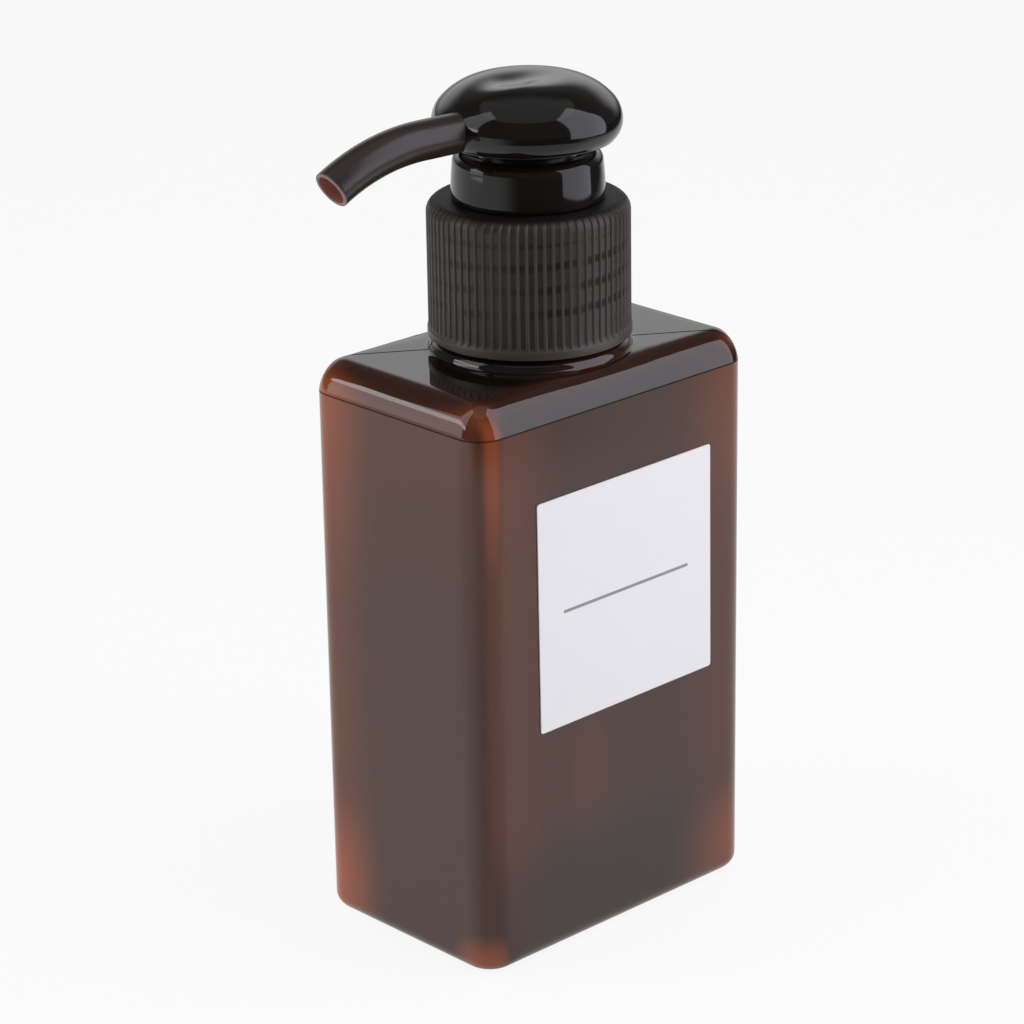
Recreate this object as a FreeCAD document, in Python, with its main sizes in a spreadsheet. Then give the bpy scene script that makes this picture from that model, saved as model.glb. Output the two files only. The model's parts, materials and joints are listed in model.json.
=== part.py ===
"""Pump oil bottle: a rounded rectangular bottle with a lock-down lotion pump screwed on its neck.

Frame: millimetres, +Z up, origin at the middle of the bottle's base, label towards -Y, nozzle towards -X.
The head is modelled pushed down, as it is when the lock thread holds it.
"""
import FreeCAD, Part
import math
import os
import re

import Sketcher

# Driving sizes in millimetres, angles in degrees, one row of the sheet each
SIZES = {
    # Bottle
    "body_width": 50.6,
    "body_depth": 33.6,
    "body_height": 80.6,
    "edge_round": 4.2,
    "base_round": 2.2,
    "body_wall": 1.3,
    "base_wall": 1.8,
    "push_up": 1.0,
    "standing_rim": 5.0,
    "ring_radius": 13.7,
    "ring_height": 1.5,
    "ring_chamfer": 0.5,
    "neck_radius": 10.8,
    "neck_height": 16.6,
    "neck_bore": 8.4,
    "lip_chamfer": 0.4,
    # Label
    "label_side": 32.6,
    "label_thick": 0.15,
    "label_offset": 1.1,
    "label_level": 49.5,
    "label_corner": 0.4,
    "label_tilt": 0.4,
    # Clearances
    "seat_gap": 0.1,
    "turn_gap": 0.15,
    "fit_gap": 0.05,
    "run_gap": 0.06,
    "part_gap": 0.3,
    # Gasket and housing
    "gasket_thick": 1.0,
    "gasket_width": 2.0,
    "flange_radius": 11.4,
    "flange_thick": 1.2,
    "barrel_bore": 6.3,
    "barrel_wall": 1.0,
    "barrel_depth": 37.3,
    "snap_bore": 7.6,
    "snap_wall": 1.3,
    "snap_height": 4.5,
    "snap_floor": 0.7,
    "ball_chamber": 2.6,
    "ball_chamber_depth": 3.6,
    "inlet_radius": 1.1,
    "inlet_length": 1.2,
    "socket_wall": 1.3,
    "socket_depth": 8.8,
    "vent_radius": 0.5,
    "vent_drop": 4.0,
    # Collar
    "collar_gap": 0.25,
    "collar_radius": 13.62,
    "collar_bore": 12.15,
    "collar_plate": 1.35,
    "collar_opening": 9.3,
    "collar_shoulder": 1.8,
    "collar_band": 1.1,
    "band_proud": 0.13,
    "rib_count": 72,
    "rib_depth": 0.22,
    "flute_mouth_share": 0.88,
    "flute_floor_share": 0.62,
    # Chaplet
    "chaplet_radius": 10.3,
    "chaplet_draft": 0.25,
    "chaplet_height": 6.25,
    "chaplet_round": 1.5,
    "chaplet_roof": 3.2,
    "throat_wall": 1.0,
    "throat_floor": 1.6,
    "guide_wall": 1.5,
    "guide_length": 5.5,
    # Head
    "head_turn": -4.5,
    "head_gap": 1.65,
    "dome_radius": 12.65,
    "dome_wall": 1.3,
    "rim_lift": 2.35,
    "rim_round": 3.2,
    "crown_height": 5.85,
    "shoulder_round": 4.3,
    "dish_radius": 4.9,
    "dish_depth": 0.6,
    "dish_edge_round": 4.0,
    "nozzle_level": 2.55,
    "nozzle_radius": 2.65,
    "nozzle_wall": 0.55,
    "nozzle_straight": 17.6,
    "nozzle_bend": 29.0,
    "nozzle_turn": 30.2,
    "slot_gap": 0.1,
    "deck_drop": 0.8,
    "deck_thick": 1.0,
    "hub_radius": 6.0,
    "hub_top_radius": 4.2,
    "hub_gap": 0.3,
    "socket_stop": 0.75,
    # Stem, piston and valves
    "stem_radius": 3.2,
    "stem_wall": 1.1,
    "stem_foot": 32.0,
    "stem_collar": 4.3,
    "stem_collar_thick": 1.2,
    "piston_length": 5.5,
    "piston_waist": 5.5,
    "lip_length": 0.8,
    "lip_slope": 0.7,
    "cup_width": 1.1,
    "cup_depth": 1.4,
    "port_height": 1.8,
    "seat_radius": 4.9,
    "seat_thick": 1.4,
    "pilot_radius": 3.3,
    "pilot_length": 3.0,
    "fin_count": 4,
    "fin_thick": 0.9,
    "fin_length": 7.0,
    "wire_radius": 0.4,
    "coil_radius": 4.3,
    "coil_turns": 5.5,
    "wire_flats": 6,
    "cage_thick": 1.2,
    "cage_pilot": 2.2,
    "bar_count": 4,
    "cage_bar": 1.2,
    "ball_radius": 2.0,
    # Dip tube
    "tube_radius": 2.5,
    "tube_wall": 0.6,
    "tube_floor_gap": 1.6,
    "tube_cut": 2.0,
}

doc = FreeCAD.newDocument("pump_oil_bottle")
sheet = doc.addObject("Spreadsheet::Sheet", "Sizes")
for row, (alias, number) in enumerate(SIZES.items(), start=1):
    sheet.set(f"A{row}", alias)
    sheet.set(f"B{row}", str(number))
    sheet.setAlias(f"B{row}", alias)
doc.recompute()

nodes = []
NEAR = 0.001


def bind(formula):
    """The formula with each size's name pointing at its cell"""
    return re.sub(r"[a-z]\w*", lambda word: f"Sizes.{word[0]}" if word[0] in SIZES else word[0], formula)


def value(formula):
    """The formula's number at the sheet's present sizes"""
    return float(sheet.evalExpression(bind(formula)))


def new_body(label):
    """A sub-part that is written to a file under its label"""
    body = doc.addObject("PartDesign::Body", label)
    body.Label = label
    nodes.append(body)
    return body


def origin_plane(body, role):
    return next(plane for plane in body.Origin.OriginFeatures if plane.Role == role)


def new_sketch(body, name, role, lift):
    """An empty sketch on one of the body's own planes, lifted along its normal"""
    sketch = body.newObject("Sketcher::SketchObject", name)
    sketch.AttachmentSupport = [(origin_plane(body, role), "")]
    sketch.MapMode = "FlatFace"
    if lift != "0":
        sketch.setExpression("AttachmentOffset.Base.z", bind(lift))
    return sketch


def dimension(sketch, kind, places, formula):
    """One dimension of a sketch, tied to the sheet"""
    index = sketch.addConstraint(Sketcher.Constraint(kind, *places, value(formula)))
    sketch.setExpression(f"Constraints[{index}]", bind(formula))


def pin(sketch, edge, end, across, up):
    """Hold one end of an edge at a place measured from the sketch's origin"""
    for formula, axis, kind in ((across, -2, "DistanceX"), (up, -1, "DistanceY")):
        if formula == "0":
            sketch.addConstraint(Sketcher.Constraint("PointOnObject", edge, end, axis))
        else:
            dimension(sketch, kind, (-1, 1, edge, end), formula)


def arc_between(start, end, radius):
    """The short arc from start to end, counter-clockwise for a positive radius"""
    chord = end - start
    left = FreeCAD.Vector(-chord.y, chord.x, 0).normalize()
    reach = abs(radius)
    sagitta = reach - math.sqrt(max(reach ** 2 - (chord.Length / 2) ** 2, 0.0))
    middle = (start + end) / 2 - left * math.copysign(sagitta, radius)
    return Part.Arc(start, middle, end)


def outline(body, name, role, corners, lift="0"):
    """Closed outline through the corners; a third entry is the radius of the arc that leads there"""
    sketch = new_sketch(body, name, role, lift)
    points = [FreeCAD.Vector(value(corner[0]), value(corner[1]), 0) for corner in corners]
    edges = []
    for index, corner in enumerate(corners):
        start, end = points[index - 1], points[index]
        if len(corner) == 3:
            edge = sketch.addGeometry(arc_between(start, end, value(corner[2])))
            dimension(sketch, "Radius", (edge,), f"abs({corner[2]})")
        else:
            edge = sketch.addGeometry(Part.LineSegment(start, end))
        first_end = sketch.getPoint(edge, 1)
        forward = first_end.distanceToPoint(start) < first_end.distanceToPoint(end)
        edges.append((edge, 1, 2) if forward else (edge, 2, 1))
    for index, (edge, _, last) in enumerate(edges):
        following, first, _ = edges[(index + 1) % len(edges)]
        sketch.addConstraint(Sketcher.Constraint("Coincident", edge, last, following, first))
        pin(sketch, edge, last, corners[index][0], corners[index][1])
    return sketch


def circle(body, name, role, across, up, radius, lift="0"):
    """A single circle with its centre held"""
    sketch = new_sketch(body, name, role, lift)
    centre = FreeCAD.Vector(value(across), value(up), 0)
    edge = sketch.addGeometry(Part.Circle(centre, FreeCAD.Vector(0, 0, 1), value(radius)))
    dimension(sketch, "Radius", (edge,), radius)
    pin(sketch, edge, 3, across, up)
    return sketch


def rectangle(half_width, half_depth):
    """Corners of a rectangle about the origin"""
    return [(f"-({half_width})", f"-({half_depth})"), (half_width, f"-({half_depth})"),
            (half_width, half_depth), (f"-({half_width})", half_depth)]


def spoke(reach, half_width):
    """Corners of a bar from the vertical axis outwards"""
    return [("0", f"-({half_width})"), (reach, f"-({half_width})"), (reach, half_width), ("0", half_width)]


def turned(body, name, corners, kind="Revolution"):
    """A full turn of a profile (radius, height) about the vertical axis"""
    profile = outline(body, f"{name}_profile", "XZ_Plane", corners)
    feature = body.newObject(f"PartDesign::{kind}", name)
    feature.Profile = profile
    feature.ReferenceAxis = (profile, ["V_Axis"])
    feature.Angle = 360
    doc.recompute()
    return feature


def extruded(body, name, profile, length, kind="Pad", backwards=False):
    """A pad or pocket of the profile along its normal"""
    feature = body.newObject(f"PartDesign::{kind}", name)
    feature.Profile = profile
    feature.Reversed = backwards
    feature.setExpression("Length", bind(length))
    doc.recompute()
    return feature


def piped(body, name, profile, path, kind):
    """A tube or bore of the profile along a path sketch"""
    feature = body.newObject(f"PartDesign::{kind}", name)
    feature.Profile = profile
    feature.Spine = (path, [f"Edge{index + 1}" for index in range(path.GeometryCount)])
    doc.recompute()
    return feature


def repeated(body, name, feature, count):
    """Copies of a feature evenly round the vertical axis"""
    pattern = body.newObject("PartDesign::PolarPattern", name)
    pattern.Originals = [feature]
    pattern.Axis = (feature.Profile[0], ["N_Axis"])
    pattern.Angle = 360
    pattern.setExpression("Occurrences", bind(count))
    body.Tip = pattern
    doc.recompute()
    return pattern


def rounded(body, name, wanted, radius):
    """A fillet on the edges of the body's tip that pass the test"""
    base = body.Tip
    edges = enumerate(base.Shape.Edges, start=1)
    names = [f"Edge{index}" for index, edge in edges if not edge.Degenerated and wanted(edge)]
    if not names:
        raise RuntimeError(f"{name}: no edge to round")
    feature = body.newObject("PartDesign::Fillet", name)
    feature.Base = (base, names)
    feature.setExpression("Radius", bind(radius))
    doc.recompute()
    return feature


def on_ring(*rings):
    """A test for round edges about the vertical axis, each ring a radius and a height"""
    places = [(value(radius), value(height)) for radius, height in rings]

    def wanted(edge):
        if not isinstance(edge.Curve, Part.Circle):
            return False
        found = (edge.Curve.Radius, edge.Curve.Center.z)
        return any(math.dist(found, place) < NEAR for place in places)
    return wanted


def at_level(height):
    """A test for edges that lie at one height"""
    level = value(height)
    return lambda edge: all(abs(vertex.Z - level) < NEAR for vertex in edge.Vertexes)


def straight_along(axis):
    """A test for straight edges along one axis"""
    return lambda edge: isinstance(edge.Curve, Part.Line) and edge.Curve.Direction.cross(axis).Length < NEAR


upright = straight_along(FreeCAD.Vector(0, 0, 1))


# Levels up the assembly, each from the piece that carries it
RING_TOP = "(body_height + ring_height)"
NECK_TOP = "(body_height + neck_height)"
FLOOR = "(push_up + base_wall)"
FLANGE_BOTTOM = f"({NECK_TOP} + seat_gap + gasket_thick)"
FLANGE_TOP = f"({FLANGE_BOTTOM} + flange_thick)"
PLATE_BOTTOM = f"({FLANGE_TOP} + turn_gap)"
COLLAR_TOP = f"({PLATE_BOTTOM} + collar_plate)"
COLLAR_BOTTOM = f"({RING_TOP} + collar_gap)"
CHAPLET_BOTTOM = f"({COLLAR_TOP} + turn_gap)"
CHAPLET_TOP = f"({CHAPLET_BOTTOM} + chaplet_height)"
ROOF = f"({CHAPLET_TOP} - chaplet_roof)"
SNAP_FLOOR = f"({FLANGE_TOP} + snap_floor)"
SNAP_TOP = f"({FLANGE_TOP} + snap_height)"
SNAP_RADIUS = "(snap_bore + snap_wall)"
BARREL_FLOOR = f"({FLANGE_BOTTOM} - barrel_depth)"
SEAT_TOP = f"({BARREL_FLOOR} - ball_chamber_depth)"
INLET_TOP = f"({SEAT_TOP} - ball_chamber + inlet_radius)"
TUBE_TOP = f"({INLET_TOP} - inlet_length)"
DOME_RIM = f"({CHAPLET_TOP} + head_gap)"
EQUATOR = f"({DOME_RIM} + rim_lift)"
CREST = f"({EQUATOR} + crown_height)"
NOZZLE_AXIS = f"({DOME_RIM} + nozzle_level)"
NOZZLE_BORE = "(nozzle_radius - nozzle_wall)"
DECK_BOTTOM = f"({DOME_RIM} + deck_drop)"
THROAT_FLOOR = f"({SNAP_FLOOR} + seat_gap + throat_floor)"
HUB_BOTTOM = f"({THROAT_FLOOR} + hub_gap)"
STEM_TOP = f"({DECK_BOTTOM} - socket_stop)"
STEM_BORE = "(stem_radius - stem_wall)"
STEM_FOOT = f"({STEM_TOP} - stem_foot)"
VALVE_SEAT = f"({STEM_FOOT} - port_height)"
PISTON_BOTTOM = f"({VALVE_SEAT} + part_gap)"
PISTON_TOP = f"({PISTON_BOTTOM} + piston_length)"
STEM_COLLAR = f"({PISTON_TOP} + part_gap)"
SPRING_TOP = f"({VALVE_SEAT} - seat_thick - seat_gap)"
SPRING_BOTTOM = f"({BARREL_FLOOR} + cage_thick + seat_gap)"

# Oil chamber: the room inside the bottle, cut out of it below
chamber = doc.addObject("PartDesign::Body", "oil_chamber")
extruded(chamber, "chamber_room",
         outline(chamber, "chamber_plan", "XY_Plane",
                 rectangle("(body_width / 2 - body_wall)", "(body_depth / 2 - body_wall)"), FLOOR),
         f"body_height - body_wall - {FLOOR}")
chamber_top = at_level("body_height - body_wall")
rounded(chamber, "chamber_edges", lambda edge: upright(edge) or chamber_top(edge),
        "edge_round - body_wall")
rounded(chamber, "chamber_floor_edge", at_level(FLOOR), "base_round - body_wall")
turned(chamber, "neck_bore_room", [("0", f"{FLOOR} + edge_round"), ("neck_bore", f"{FLOOR} + edge_round"),
                                   ("neck_bore", f"{NECK_TOP} + part_gap"), ("0", f"{NECK_TOP} + part_gap")])

# Bottle: rounded block with a push-up base, neck ring and neck, hollowed by the chamber
bottle = new_body("bottle_body")
extruded(bottle, "block",
         outline(bottle, "block_plan", "XY_Plane", rectangle("body_width / 2", "body_depth / 2")),
         "body_height")
block_top = at_level("body_height")
rounded(bottle, "block_edges", lambda edge: upright(edge) or block_top(edge), "edge_round")
rounded(bottle, "base_edge", at_level("0"), "base_round")
extruded(bottle, "push_up_recess",
         outline(bottle, "recess_plan", "XY_Plane",
                 rectangle("(body_width / 2 - standing_rim)", "(body_depth / 2 - standing_rim)")),
         "push_up", "Pocket", True)
rounded(bottle, "recess_edges",
        lambda edge: upright(edge) and edge.Length < 2 * value("push_up"), "base_round")
turned(bottle, "neck", [
    ("0", "body_height - body_wall"), ("ring_radius", "body_height - body_wall"),
    ("ring_radius", f"{RING_TOP} - ring_chamfer"), ("ring_radius - ring_chamfer", RING_TOP),
    ("neck_radius", RING_TOP), ("neck_radius", f"{NECK_TOP} - lip_chamfer"),
    ("neck_radius - lip_chamfer", NECK_TOP), ("0", NECK_TOP)])
hollow = bottle.newObject("PartDesign::Boolean", "hollow")
hollow.setObjects([chamber])
hollow.Type = "Cut"
doc.recompute()

# Label: a thin square stuck on the front face, a touch askew
label = new_body("front_label")
extruded(label, "sheet_of_paper",
         outline(label, "label_plan", "XZ_Plane", rectangle("label_side / 2", "label_side / 2")),
         "label_thick")
rounded(label, "label_corners", straight_along(FreeCAD.Vector(0, 1, 0)), "label_corner")
label.Placement.Rotation.Axis = FreeCAD.Vector(0, -1, 0)
label.setExpression("Placement.Rotation.Angle", bind("label_tilt"))
label.setExpression("Placement.Base.x", bind("label_offset"))
label.setExpression("Placement.Base.y", bind("-body_depth / 2"))
label.setExpression("Placement.Base.z", bind("label_level"))

# Gasket: flat ring on the neck's lip
gasket = new_body("neck_gasket")
turned(gasket, "gasket_ring", [("neck_bore + part_gap", f"{NECK_TOP} + seat_gap"),
                               ("neck_bore + part_gap + gasket_width", f"{NECK_TOP} + seat_gap"),
                               ("neck_bore + part_gap + gasket_width", FLANGE_BOTTOM),
                               ("neck_bore + part_gap", FLANGE_BOTTOM)])

# Housing: barrel with flange and snap ring on top, ball chamber and dip tube socket below
housing = new_body("pump_housing")
BARREL_RADIUS = "(barrel_bore + barrel_wall)"
SOCKET_RADIUS = "(tube_radius + socket_wall)"
turned(housing, "barrel", [
    ("snap_bore", SNAP_FLOOR), ("snap_bore", SNAP_TOP), (SNAP_RADIUS, SNAP_TOP), (SNAP_RADIUS, FLANGE_TOP),
    ("flange_radius", FLANGE_TOP), ("flange_radius", FLANGE_BOTTOM), (BARREL_RADIUS, FLANGE_BOTTOM),
    (BARREL_RADIUS, f"{BARREL_FLOOR} - barrel_wall"), (SOCKET_RADIUS, SEAT_TOP),
    (SOCKET_RADIUS, f"{TUBE_TOP} - socket_depth"), ("tube_radius + fit_gap", f"{TUBE_TOP} - socket_depth"),
    ("tube_radius + fit_gap", TUBE_TOP), ("inlet_radius", TUBE_TOP), ("inlet_radius", INLET_TOP),
    ("ball_chamber", SEAT_TOP), ("ball_chamber", BARREL_FLOOR), ("barrel_bore", BARREL_FLOOR),
    ("barrel_bore", SNAP_FLOOR)])
extruded(housing, "vent",
         circle(housing, "vent_plan", "YZ_Plane", "0", f"{FLANGE_BOTTOM} - vent_drop", "vent_radius"),
         "barrel_bore + 2 * barrel_wall", "Pocket", True)

# Collar: ribbed cap with a plate that the flange hangs it on, its flutes running out on the rounded shoulder
collar = new_body("screw_collar")
turned(collar, "collar_cup", [
    ("collar_bore", COLLAR_BOTTOM), ("collar_radius + band_proud", COLLAR_BOTTOM),
    ("collar_radius + band_proud", f"{COLLAR_BOTTOM} + collar_band"),
    ("collar_radius", f"{COLLAR_BOTTOM} + collar_band + band_proud"),
    ("collar_radius", f"{COLLAR_TOP} - collar_shoulder"),
    ("collar_radius - collar_shoulder", COLLAR_TOP, "collar_shoulder"),
    ("collar_opening", COLLAR_TOP), ("collar_opening", PLATE_BOTTOM), ("collar_bore", PLATE_BOTTOM)])
RIB_PITCH = "(2 * pi * collar_radius / rib_count)"
RIB_FOOT = f"({COLLAR_BOTTOM} + collar_band + band_proud)"
flute = extruded(collar, "flute",
                 outline(collar, "flute_plan", "XY_Plane", [
                     ("collar_radius + band_proud", f"-flute_mouth_share * {RIB_PITCH} / 2"),
                     ("collar_radius + band_proud", f"flute_mouth_share * {RIB_PITCH} / 2"),
                     ("collar_radius - rib_depth", f"flute_floor_share * {RIB_PITCH} / 2"),
                     ("collar_radius - rib_depth", f"-flute_floor_share * {RIB_PITCH} / 2")],
                     RIB_FOOT),
                 f"{COLLAR_TOP} - {RIB_FOOT}", "Pocket", True)
repeated(collar, "flutes", flute, "rib_count")

# Chaplet: smooth drafted ring over the snap ring, with the throat and the stem's guide
chaplet = new_body("lock_chaplet")
THROAT = "(hub_radius + part_gap)"
GUIDE_BORE = "(stem_radius + run_gap)"
GUIDE_FOOT = f"({SNAP_FLOOR} + seat_gap)"
turned(chaplet, "ring", [
    (f"{SNAP_RADIUS} + fit_gap", CHAPLET_BOTTOM), ("chaplet_radius", CHAPLET_BOTTOM),
    ("chaplet_radius - chaplet_draft", CHAPLET_TOP), (THROAT, CHAPLET_TOP), (THROAT, THROAT_FLOOR),
    (GUIDE_BORE, THROAT_FLOOR), (GUIDE_BORE, f"{GUIDE_FOOT} - guide_length"),
    (f"{GUIDE_BORE} + guide_wall", f"{GUIDE_FOOT} - guide_length"),
    (f"{GUIDE_BORE} + guide_wall", GUIDE_FOOT),
    (f"{THROAT} + throat_wall", GUIDE_FOOT), (f"{THROAT} + throat_wall", ROOF),
    (f"{SNAP_RADIUS} + fit_gap", ROOF)])
rounded(chaplet, "ring_top_edge", on_ring(("chaplet_radius - chaplet_draft", CHAPLET_TOP)), "chaplet_round")

# Dome: hollow mushroom cap, its crown two tangent arcs, with a thumb dish and a slot for the nozzle
SIDE = "(dome_radius - dish_radius)"
CROWN_ROUND = (f"((({SIDE} - shoulder_round)^2 + crown_height^2 - shoulder_round^2)"
               " / (2 * (crown_height - shoulder_round)))")
DISH_ROUND = "((dish_radius^2 + dish_depth^2) / (2 * dish_depth))"
CROWN_SPAN = f"({CROWN_ROUND} - shoulder_round)"
JOIN_ACROSS = f"(dome_radius - shoulder_round + shoulder_round * ({SIDE} - shoulder_round) / {CROWN_SPAN})"
JOIN_UP = f"({EQUATOR} + shoulder_round * ({CROWN_ROUND} - crown_height) / {CROWN_SPAN})"
CEILING = f"({CREST} - dish_depth - dome_wall)"
CEILING_RADIUS = (f"(dish_radius + sqrt(({CROWN_ROUND} - dome_wall)^2"
                  f" - ({CROWN_ROUND} - dish_depth - dome_wall)^2))")
dome = new_body("head_dome")
RIM_EDGE = "(dome_radius - rim_round + sqrt(rim_round^2 - rim_lift^2))"
turned(dome, "cap", [
    ("dome_radius - dome_wall", DOME_RIM), (RIM_EDGE, DOME_RIM), ("dome_radius", EQUATOR, "rim_round"),
    (JOIN_ACROSS, JOIN_UP, "shoulder_round"), ("dish_radius", CREST, CROWN_ROUND),
    ("0", f"{CREST} - dish_depth", f"-{DISH_ROUND}"), ("0", CEILING), (CEILING_RADIUS, CEILING),
    ("dome_radius - dome_wall", EQUATOR)])
rounded(dome, "dish_edge", on_ring(("dish_radius", CREST)), "dish_edge_round")
SLOT = "(nozzle_radius + slot_gap)"
extruded(dome, "nozzle_slot",
         outline(dome, "slot_plan", "YZ_Plane", [
             (f"-{SLOT}", f"{DOME_RIM} - part_gap"), (SLOT, f"{DOME_RIM} - part_gap"), (SLOT, NOZZLE_AXIS),
             ("0", f"{NOZZLE_AXIS} + {SLOT}", SLOT), (f"-{SLOT}", NOZZLE_AXIS, SLOT)]),
         "dome_radius + part_gap", "Pocket", False)

# Spout body: hub over the stem, deck under the dome, and the nozzle bending down to its open tip
spout = new_body("spout_body")
DECK_RADIUS = "(dome_radius - dome_wall - fit_gap)"
HUB_TOP = f"({CEILING} - fit_gap)"
turned(spout, "hub", [
    ("0", HUB_BOTTOM), ("hub_radius", HUB_BOTTOM), ("hub_radius", DECK_BOTTOM), (DECK_RADIUS, DECK_BOTTOM),
    (DECK_RADIUS, f"{DECK_BOTTOM} + deck_thick"), ("hub_top_radius", f"{DECK_BOTTOM} + deck_thick"),
    ("hub_top_radius", HUB_TOP), ("0", HUB_TOP)])


def nozzle_path(name):
    """Line out of the hub and the tangent arc down to the tip"""
    path = new_sketch(spout, name, "XZ_Plane", "0")
    level, bend_start, bend = value(NOZZLE_AXIS), value("-nozzle_straight"), value("nozzle_bend")
    turn = math.radians(value("nozzle_turn"))

    def along(angle):
        return FreeCAD.Vector(bend_start - bend * math.sin(angle), level - bend * (1 - math.cos(angle)), 0)
    straight = path.addGeometry(Part.LineSegment(FreeCAD.Vector(0, level, 0), along(0)))
    curve = path.addGeometry(Part.Arc(along(0), along(turn / 2), along(turn)))
    root, tip = (1, 2) if path.getPoint(curve, 1).distanceToPoint(along(0)) < NEAR else (2, 1)
    pin(path, straight, 1, "0", NOZZLE_AXIS)
    pin(path, straight, 2, "-nozzle_straight", NOZZLE_AXIS)
    path.addConstraint(Sketcher.Constraint("Tangent", straight, 2, curve, root))
    dimension(path, "Radius", (curve,), "nozzle_bend")
    reach = "-nozzle_straight - nozzle_bend * sin(nozzle_turn * 1 deg)"
    dimension(path, "DistanceX", (-1, 1, curve, tip), reach)
    return path


piped(spout, "nozzle", circle(spout, "nozzle_plan", "YZ_Plane", "0", NOZZLE_AXIS, "nozzle_radius"),
      nozzle_path("nozzle_line"), "AdditivePipe")
piped(spout, "nozzle_bore", circle(spout, "bore_plan", "YZ_Plane", "0", NOZZLE_AXIS, NOZZLE_BORE),
      nozzle_path("bore_line"), "SubtractivePipe")
turned(spout, "stem_socket", [
    ("0", HUB_BOTTOM), ("stem_radius + fit_gap", HUB_BOTTOM), ("stem_radius + fit_gap", STEM_TOP),
    (STEM_BORE, STEM_TOP), (STEM_BORE, NOZZLE_AXIS), ("0", NOZZLE_AXIS)], "Groove")

# Stem: hollow tube from the hub's socket to the piston, with the collar that pushes the piston down
stem = new_body("piston_stem")
turned(stem, "stem_tube", [
    (STEM_BORE, STEM_FOOT), ("stem_radius", STEM_FOOT), ("stem_radius", STEM_COLLAR),
    ("stem_collar", STEM_COLLAR), ("stem_collar", f"{STEM_COLLAR} + stem_collar_thick"),
    ("stem_radius", f"{STEM_COLLAR} + stem_collar_thick"), ("stem_radius", STEM_TOP), (STEM_BORE, STEM_TOP)])

# Plunger: crossed fins in the stem's bore, seat under the piston, pilot inside the spring
plunger = new_body("valve_plunger")
SEAT_BOTTOM = f"({VALVE_SEAT} - seat_thick)"
turned(plunger, "seat", [
    ("0", f"{SEAT_BOTTOM} - pilot_length"), ("pilot_radius", f"{SEAT_BOTTOM} - pilot_length"),
    ("pilot_radius", SEAT_BOTTOM), ("seat_radius", SEAT_BOTTOM),
    ("seat_radius", VALVE_SEAT), ("0", VALVE_SEAT)])
FIN_REACH = f"sqrt(({STEM_BORE} - fit_gap)^2 - (fin_thick / 2)^2)"
fin = extruded(plunger, "fin",
               outline(plunger, "fin_plan", "XY_Plane",
                       spoke(FIN_REACH, "fin_thick / 2"), VALVE_SEAT),
               "port_height + fin_length")
repeated(plunger, "fins", fin, "fin_count")

# Piston: soft ring with an outward lip at each end
piston = new_body("piston_seal")
PISTON_BORE = "(stem_radius + run_gap)"
LIP = "(barrel_bore - run_gap)"
CUP_MIDDLE = f"(({PISTON_BORE} + {LIP}) / 2)"
turned(piston, "piston_ring", [
    (PISTON_BORE, PISTON_BOTTOM), (f"{CUP_MIDDLE} - cup_width / 2", PISTON_BOTTOM),
    (CUP_MIDDLE, f"{PISTON_BOTTOM} + cup_depth"), (f"{CUP_MIDDLE} + cup_width / 2", PISTON_BOTTOM),
    (LIP, PISTON_BOTTOM), (LIP, f"{PISTON_BOTTOM} + lip_length"),
    ("piston_waist", f"{PISTON_BOTTOM} + lip_length + lip_slope"),
    ("piston_waist", f"{PISTON_TOP} - lip_length - lip_slope"), (LIP, f"{PISTON_TOP} - lip_length"),
    (LIP, PISTON_TOP), (f"{CUP_MIDDLE} + cup_width / 2", PISTON_TOP),
    (CUP_MIDDLE, f"{PISTON_TOP} - cup_depth"), (f"{CUP_MIDDLE} - cup_width / 2", PISTON_TOP),
    (PISTON_BORE, PISTON_TOP)])

# Spring: wire wound between the cage and the plunger's seat, drawn with a few flats round the wire


def helix_point(angle, bottom, rise):
    radius = value("coil_radius")
    return FreeCAD.Vector(radius * math.cos(angle), radius * math.sin(angle), bottom + rise * angle)


def helix_heading(angle, rise):
    radius = value("coil_radius")
    return FreeCAD.Vector(-radius * math.sin(angle), radius * math.cos(angle), rise).normalize()


def tangent_arc(start, heading, reach, end):
    """Arc that leaves start along heading and ends where the two equal tangents meet"""
    chord_middle = (start + end) / 2
    drop = start + heading * reach - chord_middle
    half_chord = (end - start).Length / 2
    radius = half_chord * reach / drop.Length
    sagitta = radius - math.sqrt(radius ** 2 - half_chord ** 2)
    return Part.Arc(start, chord_middle + drop.normalize() * sagitta, end).toShape()


def biarc(start, heading, end, end_heading):
    """Two arcs that join two points with the given headings"""
    chord = end - start
    both = heading + end_heading
    bend = 2 * (1 - heading.dot(end_heading))
    reach = (math.sqrt(chord.dot(both) ** 2 + bend * chord.dot(chord)) - chord.dot(both)) / bend
    joint = (start + heading * reach + end - end_heading * reach) / 2
    return [tangent_arc(start, heading, reach, joint), tangent_arc(end, end_heading * -1, reach, joint)]


def wire_section(centre, heading):
    """Outline of the wire across its heading"""
    across = FreeCAD.Vector(centre.x, centre.y, 0).normalize()
    over = heading.cross(across)
    flats = round(value("wire_flats"))
    radius = value("wire_radius")
    corners = []
    for step in range(flats + 1):
        turn = 2 * math.pi * step / flats
        corners.append(centre + (across * math.cos(turn) + over * math.sin(turn)) * radius)
    return Part.makePolygon(corners)


def least_gap(points, turn_length, thickness):
    """Least room between turns, on points along the wire over half a turn apart"""
    pairs = ((one, other) for index, one in enumerate(points) for other in points[index + turn_length:])
    return min(one.distanceToPoint(other) for one, other in pairs) - thickness


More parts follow.
